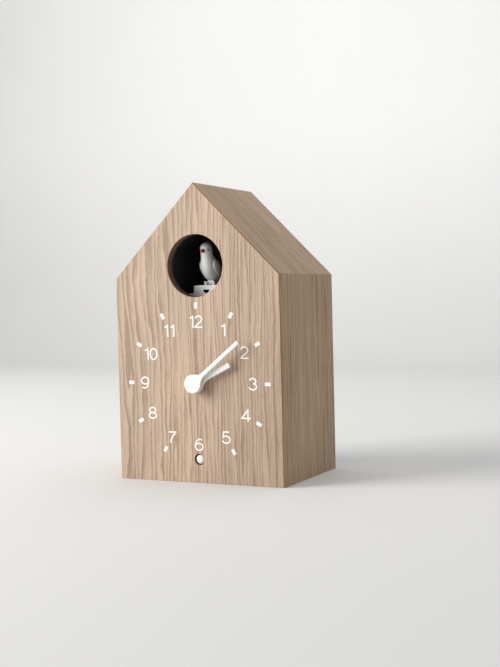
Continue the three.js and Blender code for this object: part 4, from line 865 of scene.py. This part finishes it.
def numeral(hour, dial):
    """One printed hour, upright, centred on its radius."""
    text = str(hour)
    spacing = WIDE_GAP if text == "11" else GAP
    widths = [FIGURE_WIDTH[c] * FIGURE_STRETCH[c] for c in text]
    cursor = -(sum(widths) + spacing * (len(text) - 1)) / 2
    turn = math.radians(30 * hour)
    outward = Vector((math.sin(turn), math.cos(turn)))
    centre = Vector((DIAL.x, DIAL.z)) + dial.numeral_circle * outward
    centre += Vector(HOUR_SHIFT.get(hour, (0, 0))) * MM
    bm = bmesh.new()
    for figure, width in zip(text, widths):
        stretch = FIGURE_STRETCH[figure]
        for layer, stroke in enumerate(FIGURES[figure]):
            points = [
                centre + Vector((cursor + x * stretch, z - 0.5)) * dial.numeral_height
                for x, z in stroke
            ]
            # Crossing strokes lie at their own levels, so that their faces don't coincide.
            level = dial.ink * (1 - 0.3 * layer)
            ribbon(bm, points, dial.stroke, FRONT - level, FRONT + SUNK)
        cursor += width + spacing
    bmesh.ops.recalc_face_normals(bm, faces=bm.faces)
    return piece(f"numeral_{hour}", bm, ["dial_ink"], "case")


GEOMETRY = [("Geometry", "NodeSocketGeometry")]


def grown(name, tree, values, material_key):
    """Runs a geometry tree with its named inputs and returns the mesh it makes."""
    obj = standing(name, bpy.data.meshes.new(name))
    modifier = obj.modifiers.new("grow", "NODES")
    modifier.node_group = tree
    sockets = {
        s.name: s.identifier for s in tree.interface.items_tree
        if s.item_type == "SOCKET" and s.in_out == "INPUT"
    }
    for label, value in {**values, "Material": finish[material_key]}.items():
        modifier[sockets[label]] = value
    mesh = applied(obj)
    bm = bmesh.new()
    bm.from_mesh(mesh)
    bmesh.ops.remove_doubles(bm, verts=bm.verts, dist=MERGE)
    bmesh.ops.recalc_face_normals(bm, faces=bm.faces)
    bm.to_mesh(mesh)
    bm.free()
    return mesh


def finish_tree(tree, out, geometry, given):
    """Realizes the instances, sets the material and feeds the output."""
    realized = node(tree, "GeometryNodeRealizeInstances", {0: geometry}).outputs[0]
    inputs = {"Geometry": realized, "Material": given["Material"]}
    feed(tree, out, Geometry=node(tree, "GeometryNodeSetMaterial", inputs).outputs[0])


# Number of the point at six o'clock, counted from three o'clock against the clock.
AT_SIX = 9


def mark_tree():
    """Hour marks laid round a circle, with the sensor's place at six o'clock left free."""
    tree, given, out = new_group("Hour marks", "GeometryNodeTree", [
        ("Circle", "NodeSocketFloat", 0.058),
        ("Length", "NodeSocketFloat", 0.005),
        ("Width", "NodeSocketFloat", 0.0024),
        ("Thickness", "NodeSocketFloat", 0.0001),
        ("Corner", "NodeSocketFloat", 0.0004),
        ("Material", "NodeSocketMaterial", None),
    ], GEOMETRY)
    circle = node(tree, "GeometryNodeMeshCircle", {"Vertices": 12, "Radius": given["Circle"]})
    bar = rounded_bar(tree, given["Length"], given["Width"], given["Corner"])
    sheet = node(tree, "GeometryNodeFillCurve", {0: bar}).outputs[0]
    up = {
        "Mesh": sheet, "Offset": (0, 0, 1), "Offset Scale": given["Thickness"], "Individual": False,
    }
    block = node(tree, "GeometryNodeExtrudeMesh", up)
    whole = node(tree, "GeometryNodeJoinGeometry")
    for part in (block.outputs[0], sheet):
        tree.links.new(part, whole.inputs[0])
    index = node(tree, "GeometryNodeInputIndex").outputs[0]
    rotation = vector_of(tree, z=maths(tree, "MULTIPLY", index, TAU / 12))
    compared = {2: index, 3: AT_SIX}
    wanted = node(tree, "FunctionNodeCompare", compared, data_type="INT", operation="NOT_EQUAL")
    laid = node(tree, "GeometryNodeInstanceOnPoints", {
        "Points": circle.outputs[0], "Instance": whole.outputs[0],
        "Rotation": rotation, "Selection": wanted.outputs[0],
    })
    finish_tree(tree, out, laid.outputs[0], given)
    return tree


def rounded_bar(tree, width, height, corner):
    """The outline of a rectangle with rounded corners."""
    bar = node(tree, "GeometryNodeCurvePrimitiveQuadrilateral", {0: width, 1: height}).outputs[0]
    inputs = {0: bar, "Count": 4, "Radius": corner}
    return node(tree, "GeometryNodeFilletCurve", inputs, mode="POLY").outputs[0]


def hour_marks(dial):
    """The printed marks of eleven hours."""
    mesh = grown("hour_marks", mark_tree(), {
        "Circle": dial.mark_circle, "Length": dial.mark_length, "Width": dial.mark_width,
        "Thickness": dial.ink + SUNK,
    }, "dial_ink")
    # The tree's marks lie in X-Y facing up, and are stood up to face the front.
    upright = Matrix.Rotation(QUARTER, 4, "X")
    mesh.transform(Matrix.Translation((DIAL.x, FRONT + SUNK, DIAL.z)) @ upright)
    return piece("hour_marks", mesh, ["dial_ink"], "case")


# ---------------------------------------------------------------- the hands

TIP_CORNER = 1.3 * MM
HUB_LEAN = math.radians(48)
NECK, ARM_START = 1.15, 1.75
CAP = 0.7 * MM


def curved(a, b, c, count):
    """Points after the first on a curve from a to c that leans to b."""
    turns = (k / count for k in range(1, count + 1))
    return [a * (1 - t) ** 2 + b * 2 * t * (1 - t) + c * t ** 2 for t in turns]


def hand_outline(length, width, hub):
    """Round hub drawn in to a straight arm with a squared end, pointing up."""
    half, corner = width / 2, TIP_CORNER
    start = Vector((half, hub * ARM_START))
    points = [start, Vector((half, length - corner))]
    points += curved(points[-1], Vector((half, length)), Vector((half - corner, length)), 4)
    points += [Vector((corner - half, length))]
    points += curved(points[-1], Vector((-half, length)), Vector((-half, length - corner)), 4)
    points += [Vector((-half, hub * ARM_START))]
    joint = Vector((-hub * math.sin(HUB_LEAN), hub * math.cos(HUB_LEAN)))
    points += curved(points[-1], Vector((-half, hub * NECK)), joint, 14)
    first, last = QUARTER + HUB_LEAN, TAU + QUARTER - HUB_LEAN
    turns = (first + (last - first) * k / 56 for k in range(1, 57))
    points += [Vector((hub * math.cos(t), hub * math.sin(t))) for t in turns]
    points += curved(points[-1], Vector((half, hub * NECK)), start, 14)[:-1]
    return points


def clock_hand(name, length, width, hub, angle, body, bore_radius, bore_blind):
    """A moulded hand with soft edges and the bore for its arbor."""
    face, back = low(name).y, high(name).y
    outline = hand_outline(length, width, hub)
    blank = skin([[Vector((p.x, y, p.y)) for p in outline] for y in (face, back)])
    bore_from = face + CAP if bore_blind else face - MARGIN
    bm = carve(blank, [round_tool(bore_radius, (bore_from, back + MARGIN), (0, 0), 48)])
    bmesh.ops.remove_doubles(bm, verts=bm.verts, dist=MERGE)

    def on_face_rim(edge):
        clear = all(math.hypot(v.co.x, v.co.z) > 4 * MM for v in edge.verts)
        return in_plane(edge, face) and clear

    ease(bm, 0.55 * MM, 4, 40, on_face_rim)
    ease(bm, 0.2 * MM, 2, 40, lambda e: in_plane(e, back))
    bm.transform(Matrix.Translation((DIAL.x, 0, DIAL.z)) @ Matrix.Rotation(angle, 4, "Y"))
    return piece(name + "_moulded", bm, ["white_hands"], body, [name], smooth=30)


# ---------------------------------------------------------------- the bird

# From the feet to the crown: share of the height, then in millimetres the middle's depth behind
# the clock's face, half the width and half the depth.
BIRD_RINGS = [
    (0.000, 26.4, 3.0, 3.4), (0.020, 26.6, 4.2, 4.9), (0.060, 26.6, 5.2, 6.3),
    (0.120, 26.2, 6.0, 7.4), (0.220, 25.5, 6.6, 8.4), (0.320, 24.7, 6.85, 8.7),
    (0.420, 23.7, 6.6, 8.2), (0.510, 22.5, 6.0, 7.2), (0.590, 21.1, 5.2, 6.1),
    (0.660, 20.0, 4.7, 5.3), (0.730, 19.1, 4.6, 5.0), (0.800, 18.7, 4.7, 5.2),
    (0.870, 18.6, 4.5, 5.1), (0.925, 18.8, 3.9, 4.4), (0.965, 19.0, 2.9, 3.3),
    (0.990, 19.1, 1.6, 1.8), (1.000, 19.1, 0.6, 0.7),
]

# How far the tail is drawn back and down, in millimetres.
TAIL_PULL, TAIL_DROP = 6.2, 2.3

# Shares of the height: where the tail, wings, beak and eyes sit, and how far tail and wings reach.
TAIL_AT, TAIL_REACH = 0.1, 0.34
WING_AT, WING_UP, WING_DOWN = 0.33, 0.22, 0.26
BEAK_AT, EYE_AT = 0.76, 0.79

# Turns round the body from its side: the wing's middle, half its breadth, its slant, and the eye.
WING_TURN, WING_HALF, WING_SLANT, EYE_TURN = (math.radians(a) for a in (4, 42, 6, -42))

# The beak from its back to its tip: radius, then place along Y, both in beak radii.
BEAK_PROFILE = [
    (0.55, 0.9), (0.9, 0.5), (1.0, 0.0), (0.97, -0.45), (0.8, -0.85), (0.5, -1.15), (0.15, -1.3),
]


def bird_ring(share):
    """Middle and half sizes of the bird's body at a share of its height."""
    for a, b in zip(BIRD_RINGS, BIRD_RINGS[1:]):
        if share <= b[0]:
            t = (share - a[0]) / (b[0] - a[0])
            return [p + (q - p) * t for p, q in zip(a, b)]
    return BIRD_RINGS[-1]


def bird_point(share, turn, swell=0.0):
    """A point on the bird's body; the turn goes from the side at +X towards the back."""
    _, behind, half_wide, half_deep = bird_ring(share)
    return Vector((
        (half_wide + swell) * MM * math.cos(turn),
        FRONT + behind * MM + (half_deep + swell) * MM * math.sin(turn),
        BIRD_BOTTOM + share * BIRD_HEIGHT,
    ))


def smoothed(bm, levels):
    """Subdivides a closed mesh into a smooth one."""
    obj = standing("smoothed", mesh_of("smoothed", bm))
    modifier = obj.modifiers.new("smooth", "SUBSURF")
    modifier.levels = modifier.render_levels = levels
    return applied(obj)


def body_point(share, turn):
    """A point on the body, drawn back and down into the tail behind."""
    behind = max(0.0, math.sin(turn))
    pull = TAIL_PULL * behind ** 5 * max(0.0, 1 - abs(share - TAIL_AT) / TAIL_REACH) ** 1.3
    point = bird_point(share, turn)
    point.x *= 1 - 0.55 * min(1.0, pull / TAIL_PULL)
    point.y += pull * MM
    point.z -= TAIL_DROP * MM * behind ** 2 * max(0.0, 1 - share / 0.4)
    return point


def bird_body(bird):
    """The body from its feet to its crown."""
    turns = [TAU * k / bird.sides for k in range(bird.sides)]
    bm = skin([[body_point(share, turn) for turn in turns] for share, *_ in BIRD_RINGS])
    return piece(
        "bird_moulding", smoothed(bm, 2), ["white_plastic"], "bird", ["bird_body"],
        smooth=80)


def bird_wing(side, name):
    """A raised, pointed oval on the bird's flank."""
    rings, count = 6, 28
    rows = []
    for ring in range(rings + 1):
        reach = 1 - (ring / rings) ** 2
        lift = -0.5 + 1.7 * math.sin(QUARTER * ring / rings) ** 0.5
        row = []
        for k in range(count):
            a = TAU * k / count
            up = math.sin(a) * reach
            half_tall = WING_UP if up > 0 else WING_DOWN
            turn = WING_TURN + WING_HALF * math.cos(a) * reach - WING_SLANT * up
            share = WING_AT + half_tall * up * (0.72 + 0.28 * abs(math.sin(a)))
            point = bird_point(max(0.02, share), turn, lift)
            row.append(Vector((side * point.x, point.y, point.z)))
        rows.append(row)
    middle = sum(rows[-1], Vector()) / count
    rows[-1] = [p.lerp(middle, 0.4) for p in rows[-1]]
    mesh = smoothed(skin(rows), 1)
    return piece(name, mesh, ["white_plastic"], "bird", smooth=80)


def dome(radius, height, rings, count):
    """A closed cap that bulges towards the front, its back in the plane y = 0."""
    turns = [QUARTER * k / rings for k in range(rings + 1)]
    return skin([
        disc_points(max(radius * math.cos(t), radius * 0.02), count, -height * math.sin(t))
        for t in turns
    ])


def bird_beak(bird):
    """Short round beak."""
    r = bird.beak_radius
    y = low("bird_beak").y + 1.3 * r
    centre = (0, BIRD_BOTTOM + BEAK_AT * BIRD_HEIGHT)
    bm = skin([disc_points(r * a, 32, y + r * b, centre) for a, b in BEAK_PROFILE])
    return piece(
        "bird_beak_tip", smoothed(bm, 1), ["red_plastic"], "bird", ["bird_beak"],
        smooth=80)


def bird_eye(side, name, bird):
    """A small black dome on the side of the head."""
    point = bird_point(EYE_AT, EYE_TURN)
    point.x *= side
    out = Vector((side * math.cos(EYE_TURN), math.sin(EYE_TURN), 0.12)).normalized()
    turn = Vector((0, -1, 0)).rotation_difference(out).to_matrix().to_4x4()
    eye = dome(bird.eye_radius, bird.eye_radius * 0.7, 5, 16)
    eye.transform(Matrix.Translation(point - out * 0.1 * MM) @ turn)
    return piece(name, eye, ["eye_black"], "bird", smooth=80)


# ---------------------------------------------------------------- fittings and workings

def deck():
    """The bird's deck, its front corners rounded, the socket in its front left painted black as painted shade."""
    name = "bird_deck"
    bm = merged_copy(name)
    lowest = low(name)
    socket_back, socket_side = lowest.y + 4.3 * MM, 3 * MM
    socket_low, socket_top = lowest.z + MM, DECK_TOP - 0.5 * MM
    # Painted shade: the socket's inner faces are black, for the dark hollow the socket opens to.
    for face in bm.faces:
        x, y, z = face.calc_center_median()
        inside = lowest.y + NEAR < y < socket_back and abs(x) < socket_side
        face.material_index = int(inside and socket_low < z < socket_top)

    def on_corner(edge):
        ends = [v.co for v in edge.verts]
        lengthwise = abs((ends[0] - ends[1]).normalized().y) > 0.99
        return lengthwise and all(
            abs(p.z - DECK_TOP) < NEAR and abs(abs(p.x) - DECK_HALF) < NEAR for p in ends)

    ease(bm, 1.3 * MM, 5, 20, on_corner)
    ease(bm, 0.3 * MM, 2, 60, lambda e: all(abs(v.co.x) > 4 * MM for v in e.verts))
    finishes = ["white_plastic", "chamber_black"]
    return piece("bird_deck_finished", bm, finishes, "case", [name])


def sensor_dome():
    """Milky dome sunk in its hole."""
    lowest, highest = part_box("sensor_lens")
    radius, count, rings = (highest.x - lowest.x) / 2, 48, 12
    centre = (SENSOR.x, SENSOR.z)
    tip = FRONT + 0.4 * MM
    bulge = 1.6 * MM
    profile = [(radius * 0.96, highest.y), (radius, highest.y - 0.2 * MM)]
    profile += [
        (max(radius * math.cos(t), 0.03 * radius), tip + bulge * (1 - math.sin(t)))
        for t in (QUARTER * k / rings for k in range(rings + 1))
    ]
    bm = skin([disc_points(r, count, y, centre) for r, y in profile])
    return piece(
        "sensor_window", bm, ["sensor_dome"], "case", ["sensor_lens"], smooth=60)


def wound_wire(tree, turns, start, end, height, wire, sides):
    """A round wire wound along Z."""
    spiral = node(tree, "GeometryNodeCurveSpiral", {
        "Resolution": 20, "Rotations": turns, "Start Radius": start, "End Radius": end,
        "Height": height,
    })
    section = node(tree, "GeometryNodeCurvePrimitiveCircle", {"Resolution": sides, "Radius": wire})
    return node(tree, "GeometryNodeCurveToMesh", {
        "Curve": spiral.outputs[0], "Profile Curve": section.outputs[0], "Fill Caps": True,
    }).outputs[0]


def coil_tree():
    """Enamelled wire wound in turns round an upright core."""
    tree, given, out = new_group("Winding", "GeometryNodeTree", [
        ("Turns", "NodeSocketFloat", 30.0),
        ("Radius", "NodeSocketFloat", 0.004),
        ("Height", "NodeSocketFloat", 0.02),
        ("Wire", "NodeSocketFloat", 0.0003),
        ("Material", "NodeSocketMaterial", None),
    ], GEOMETRY)
    radius = given["Radius"]
    wire = wound_wire(tree, given["Turns"], radius, radius, given["Height"], given["Wire"], 6)
    finish_tree(tree, out, wire, given)
    return tree


def coiled(name, tree, values, finish_key, place):
    """A grown piece of the fixed case, moved to its place; its slot has its finish's name."""
    mesh = grown(name, tree, values, finish_key)
    mesh.transform(Matrix.Translation(place))
    return piece(name, mesh, [finish_key], "case", smooth=60)


def stepper_winding():
    """The enamelled wire on the movement's coil."""
    lowest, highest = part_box("stepper_coil")
    radius, wire = 4 * MM, 0.22 * MM
    start = lowest.z + 14.6 * MM
    height = highest.z - 1.6 * MM - start
    values = {"Turns": 38.0, "Radius": radius + wire * 0.6, "Height": height, "Wire": wire}
    place = ((lowest.x + highest.x) / 2, lowest.y + radius, start)
    return coiled("stepper_winding", coil_tree(), values, "copper_coil", place)


def spring_tree():
    """A row of conical springs, each standing along Z and laid towards +X."""
    tree, given, out = new_group("Contact springs", "GeometryNodeTree", [
        ("Count", "NodeSocketInt", 3),
        ("Pitch", "NodeSocketFloat", 0.015),
        ("Turns", "NodeSocketFloat", 4.0),
        ("Foot", "NodeSocketFloat", 0.0036),
        ("Tip", "NodeSocketFloat", 0.002),
        ("Height", "NodeSocketFloat", 0.005),
        ("Wire", "NodeSocketFloat", 0.0003),
        ("Material", "NodeSocketMaterial", None),
    ], GEOMETRY)
    wire = wound_wire(
        tree, given["Turns"], given["Foot"], given["Tip"], given["Height"], given["Wire"], 8)
    step = vector_of(tree, z=given["Pitch"])
    row = node(tree, "GeometryNodeMeshLine", {"Count": given["Count"], "Offset": step})
    laid = node(tree, "GeometryNodeInstanceOnPoints", {
        "Points": row.outputs[0], "Instance": wire, "Rotation": (0, QUARTER, 0),
    })
    finish_tree(tree, out, laid.outputs[0], given)
    return tree


def battery_springs():
    """The contact's plates as they are, with wound springs in place of its solid noses."""
    name = "battery_spring_contact"
    lowest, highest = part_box(name)
    middle, size = (lowest + highest) / 2, highest - lowest
    thick, wire = 0.5 * MM, 0.3 * MM
    face = lowest.x + thick
    noses = bmesh.new()
    bmesh.ops.create_cube(noses, size=1)
    around = Matrix.Diagonal((size.x, size.y * 1.2, size.z * 1.2, 1))
    noses.transform(Matrix.Translation((face + size.x / 2, middle.y, middle.z)) @ around)
    plates = carve(merged_copy(name), [noses])
    piece("spring_plates", plates, ["steel"], "case", [name])
    end_space = 5.5 * MM
    values = {
        "Pitch": (size.z - 2 * end_space) / 2, "Height": highest.x - face - 2 * wire,
        "Wire": wire, "Foot": 3.2 * MM,
    }
    place = (face + wire, middle.y - 0.5 * MM, lowest.z + end_space)
    return coiled("contact_springs", spring_tree(), values, "steel", place)


def pleat_tree():
    """Folded cloth walls: a box ring, squeezed in and out up its height."""
    tree, given, out = new_group("Pleated cloth", "GeometryNodeTree", [
        ("Length", "NodeSocketFloat", 0.044),
        ("Width", "NodeSocketFloat", 0.02),
        ("Height", "NodeSocketFloat", 0.0075),
        ("Folds", "NodeSocketFloat", 3.0),
        ("Depth", "NodeSocketFloat", 0.0012),
        ("Material", "NodeSocketMaterial", None),
    ], GEOMETRY)
    rim = rounded_bar(tree, given["Width"], given["Length"], 0.002)
    rim = node(tree, "GeometryNodeResampleCurve", {0: rim, "Count": 96}).outputs[0]
    top = vector_of(tree, z=given["Height"])
    upright = node(tree, "GeometryNodeCurvePrimitiveLine", {"End": top}).outputs[0]
    steps = maths(tree, "MULTIPLY_ADD", given["Folds"], 8.0, 1.0)
    upright = node(tree, "GeometryNodeResampleCurve", {0: upright, "Count": steps}).outputs[0]
    walls = node(tree, "GeometryNodeCurveToMesh", {
        "Curve": upright, "Profile Curve": rim, "Fill Caps": True,
    })
    place = node(tree, "GeometryNodeInputPosition").outputs[0]
    height = node(tree, "ShaderNodeSeparateXYZ", {0: place}).outputs[2]
    turns = maths(tree, "MULTIPLY", maths(tree, "DIVIDE", height, given["Height"]), given["Folds"])
    wave = maths(tree, "COSINE", maths(tree, "MULTIPLY", turns, TAU))
    squeeze = maths(tree, "MULTIPLY", maths(tree, "SUBTRACT", 1.0, wave), given["Depth"])
    share = maths(tree, "SUBTRACT", 1.0, maths(tree, "DIVIDE", squeeze, given["Width"]))
    folded = stretched(tree, place, vector_of(tree, share, share, 1.0))
    shaped = node(tree, "GeometryNodeSetPosition", {
        "Geometry": walls.outputs[0], "Position": folded,
    })
    finish_tree(tree, out, shaped.outputs[0], given)
    return tree


def bellows_folds(side):
    """Pleated cloth between a bellows' two boards."""
    name, cloth = side + "_bellows_folds", side + "_bellows_cloth"
    lowest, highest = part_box(cloth)
    size = highest - lowest
    values = {"Length": size.y, "Width": size.x, "Height": size.z}
    mesh = grown(name, pleat_tree(), values, "bellows_cloth")
    middle = (lowest + highest) / 2
    foot, top = (middle.x, middle.y, lowest.z), (middle.x, middle.y, highest.z)
    mesh.transform(Matrix.Translation(foot))
    obj = piece(name, mesh, ["bellows_cloth"], None, [cloth], smooth=50)
    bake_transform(obj)
    return obj


# Finish, and edge rounding in millimetres, of each frame node that keeps its own shape.
EASED_NODES = {
    "bird_rocker": ("white_plastic", 0.25),
    "back_cover": ("black_plastic", 0.35),
    "battery_door": ("black_plastic", 0.35),
    "battery_tray": ("black_plastic", 0.25),
    "bird_chamber": ("chamber_black", 0.3),
    "hanger_plate": ("steel", 0.2),
    "setting_knob": ("grey_plastic", 0.25),
    "sound_switch": ("grey_plastic", 0.3),
    "test_button": ("grey_plastic", 0.4),
    "shaft_nut": ("brass", 0.2),
    "shaft_washer": ("brass", 0.08),
}

# Slots of the frame nodes that are kept as they are; each has a finish of the same name.
KEPT_SLOTS = {
    "pine", "black_plastic", "white_plastic", "grey_plastic", "steel", "brass", "copper_coil",
    "nylon", "circuit_laminate", "bellows_cloth",
}


def dress_frame_nodes():
    """Gives every frame node that stays its own finish."""
    for name, obj in frame["nodes"].items():
        slot = slot_of_node(name)
        if slot in KEPT_SLOTS:
            obj.data.materials.clear()
            obj.data.materials.append(finish[slot])


# ---------------------------------------------------------------- the stage

# Place, aim, side of the square, power in watts and colour of each light.
LIGHTS = {
    "window_light": ((-1.28, -1.0, 0.65), (0, 0, 0.11), 1.1, 38, (1.0, 0.985, 0.96)),
    "top_light": ((0.2, 0.2, 1.6), (0, 0, 0.11), 1.6, 11, (1, 1, 1)),
    "wall_light": ((-0.9, 0.6, 1.3), (-0.9, 1.7, 0.5), 1.2, 5, (1, 1, 1)),
}


def light(name, place, aim, side, power, colour):
    """A square lamp that points at a spot."""
    data = bpy.data.lights.new(name, "AREA")
    data.shape = "SQUARE"
    data.size = side
    data.energy = power
    data.color = colour
    place, aim = Vector(place), Vector(aim)
    turn = (aim - place).to_track_quat("-Z", "Y").to_matrix().to_4x4()
    standing(name, data).matrix_world = Matrix.Translation(place) @ turn


def daylight(scene):
    """Even light from all round."""
    world = bpy.data.worlds.new("studio")
    world.use_nodes = True
    background = world.node_tree.nodes["Background"]
    background.inputs["Color"].default_value = (0.98, 0.97, 1.0, 1)
    background.inputs["Strength"].default_value = 0.34
    scene.world = world
    scene.view_settings.view_transform = "Standard"


def floor_paint():
    """Matt pale paint with faint clouds, a little darker near the floor as painted shade."""
    material, tree, shader = new_material("Pale floor")
    place = node(tree, "ShaderNodeTexCoord").outputs["Object"]
    height = node(tree, "ShaderNodeSeparateXYZ", {0: place}).outputs[2]
    # Painted shade: the floor is darker, and the colour lightens up to 0.6 m above it.
    painted_shade_rise = spread(tree, height, 0.0, 0.6)
    tone = mixed(tree, painted_shade_rise, (0.7, 0.7, 0.69, 1), (0.84, 0.84, 0.83, 1))
    cloud = maths(tree, "MULTIPLY_ADD", noise(tree, place, 3), 0.05, 0.975)
    feed(tree, shader.inputs, Base_Color=shaded(tree, tone, cloud))
    shader.inputs["Roughness"].default_value = 0.9
    shader.inputs["Specular IOR Level"].default_value = 0.1
    return material


def backdrop():
    """Pale floor that sweeps up into a distant wall."""
    near, far, bend, top, steps, half = -3.0, 1.7, 0.5, 2.4, 16, 3.0
    profile = [(near, 0.0), (far - bend, 0.0)]
    profile += [
        (far - bend + bend * math.sin(t), bend - bend * math.cos(t))
        for t in (QUARTER * k / steps for k in range(1, steps + 1))
    ]
    profile.append((far, top))
    bm = bmesh.new()
    left, right = ([bm.verts.new((x, y, z)) for y, z in profile] for x in (-half, half))
    for i in range(len(profile) - 1):
        bm.faces.new((left[i], right[i], right[i + 1], left[i + 1]))
    mesh = mesh_of("floor", bm)
    mesh.shade_smooth()
    mesh.materials.append(floor_paint())
    standing("floor", mesh)


def camera(stage):
    """The camera that the scene is seen through."""
    data = bpy.data.cameras.new("camera")
    data.sensor_width = 36
    data.lens = stage.lens
    data.clip_start, data.clip_end = 0.01, 20
    obj = standing("camera", data)
    heading, tilt, roll = stage.turn
    turn = Matrix.Rotation(heading, 4, "Z") @ Matrix.Rotation(QUARTER + tilt, 4, "X")
    obj.matrix_world = Matrix.Translation(stage.camera) @ turn @ Matrix.Rotation(roll, 4, "Z")
    bpy.context.scene.camera = obj


# ---------------------------------------------------------------- operators

class ClockOperator:
    """What every step has in common"""
    bl_options = {"REGISTER", "UNDO"}


class CLOCK_OT_finishes(ClockOperator, bpy.types.Operator):
    """Make the materials and dress the inner parts"""
    bl_idname = "clock.finishes"
    bl_label = "Finishes"

    def execute(self, context):
        make_finishes(context.scene.clock_colours)
        dress_frame_nodes()
        return {"FINISHED"}


class CLOCK_OT_case(ClockOperator, bpy.types.Operator):
    """Build the veneered boards of the case"""
    bl_idname = "clock.case"
    bl_label = "Case"

    def execute(self, context):
        case = context.scene.clock_case
        front_panel(case)
        for index in range(len(BOARD_NAMES)):
            shell_board(index, case)
        return {"FINISHED"}


class CLOCK_OT_dial(ClockOperator, bpy.types.Operator):
    """Print the numerals and hour marks"""
    bl_idname = "clock.dial"
    bl_label = "Dial"

    def execute(self, context):
        dial = context.scene.clock_dial
        for hour in range(1, 13):
            numeral(hour, dial)
        hour_marks(dial)
        return {"FINISHED"}


class CLOCK_OT_hands(ClockOperator, bpy.types.Operator):
    """Mould the hour and minute hands"""
    bl_idname = "clock.hands"
    bl_label = "Hands"

    def execute(self, context):
        hands = context.scene.clock_hands
        past = hands.minutes / 60
        clock_hand(
            "minute_hand", hands.minute_length, hands.minute_width, hands.hub_radius,
            TAU * past, "minute_train", bore_radius=1.55 * MM, bore_blind=True)
        clock_hand(
            "hour_hand", hands.hour_length, hands.hour_width, hands.hub_radius,
            TAU / 12 * (hands.hours + past), "hour_train", bore_radius=2.55 * MM, bore_blind=False)
        return {"FINISHED"}


class CLOCK_OT_bird(ClockOperator, bpy.types.Operator):
    """Mould the bird with its wings, beak and eyes"""
    bl_idname = "clock.bird"
    bl_label = "Bird"

    def execute(self, context):
        bird = context.scene.clock_bird
        bird_body(bird)
        bird_wing(1, "bird_wing_left")
        bird_wing(-1, "bird_wing_right")
        bird_beak(bird)
        bird_eye(1, "bird_eye_left", bird)
        bird_eye(-1, "bird_eye_right", bird)
        return {"FINISHED"}


class CLOCK_OT_fittings(ClockOperator, bpy.types.Operator):
    """Finish the deck, chamber, sensor, back cover and controls"""
    bl_idname = "clock.fittings"
    bl_label = "Fittings"

    def execute(self, context):
        for name, (key, width) in EASED_NODES.items():
            eased_node(name, key, width * MM)
        deck()
        sensor_dome()
        return {"FINISHED"}


class CLOCK_OT_workings(ClockOperator, bpy.types.Operator):
    """Wind the coil and springs and fold the bellows' cloth"""
    bl_idname = "clock.workings"
    bl_label = "Workings"

    def execute(self, context):
        stepper_winding()
        battery_springs()
        for side in ("left", "right"):
            bellows_folds(side)
        return {"FINISHED"}


class CLOCK_OT_stage(ClockOperator, bpy.types.Operator):
    """Set up the floor, the lights and the camera"""
    bl_idname = "clock.stage"
    bl_label = "Stage"

    def execute(self, context):
        backdrop()
        camera(context.scene.clock_stage)
        for name, values in LIGHTS.items():
            light(name, *values)
        daylight(context.scene)
        return {"FINISHED"}


STEPS = [
    CLOCK_OT_finishes, CLOCK_OT_case, CLOCK_OT_dial, CLOCK_OT_hands, CLOCK_OT_bird,
    CLOCK_OT_fittings, CLOCK_OT_workings, CLOCK_OT_stage,
]


class CLOCK_PT_panel(bpy.types.Panel):
    """Steps that build the clock"""
    bl_idname = "CLOCK_PT_panel"
    bl_label = "Cuckoo clock"
    bl_space_type = "VIEW_3D"
    bl_region_type = "UI"
    bl_category = "Cuckoo clock"

    def draw(self, context):
        for step in STEPS:
            self.layout.operator(step.bl_idname)
        for name, group in SETTINGS.items():
            box = self.layout.box()
            box.label(text=group.__doc__)
            for key in group.__annotations__:
                box.prop(getattr(context.scene, name), key)


CLASSES = [*SETTINGS.values(), *STEPS, CLOCK_PT_panel]


def register():
    """Registers the classes and hangs the settings on the scene."""
    for cls in CLASSES:
        bpy.utils.register_class(cls)
    for name, group in SETTINGS.items():
        setattr(bpy.types.Scene, name, PointerProperty(type=group))


def unregister():
    """Undoes register."""
    for name in SETTINGS:
        delattr(bpy.types.Scene, name)
    for cls in reversed(CLASSES):
        bpy.utils.unregister_class(cls)


def main():
    """Builds the clock step by step."""
    register()
    for step in STEPS:
        area, name = step.bl_idname.split(".")
        getattr(getattr(bpy.ops, area), name)()


if __name__ == "__main__":
    main()
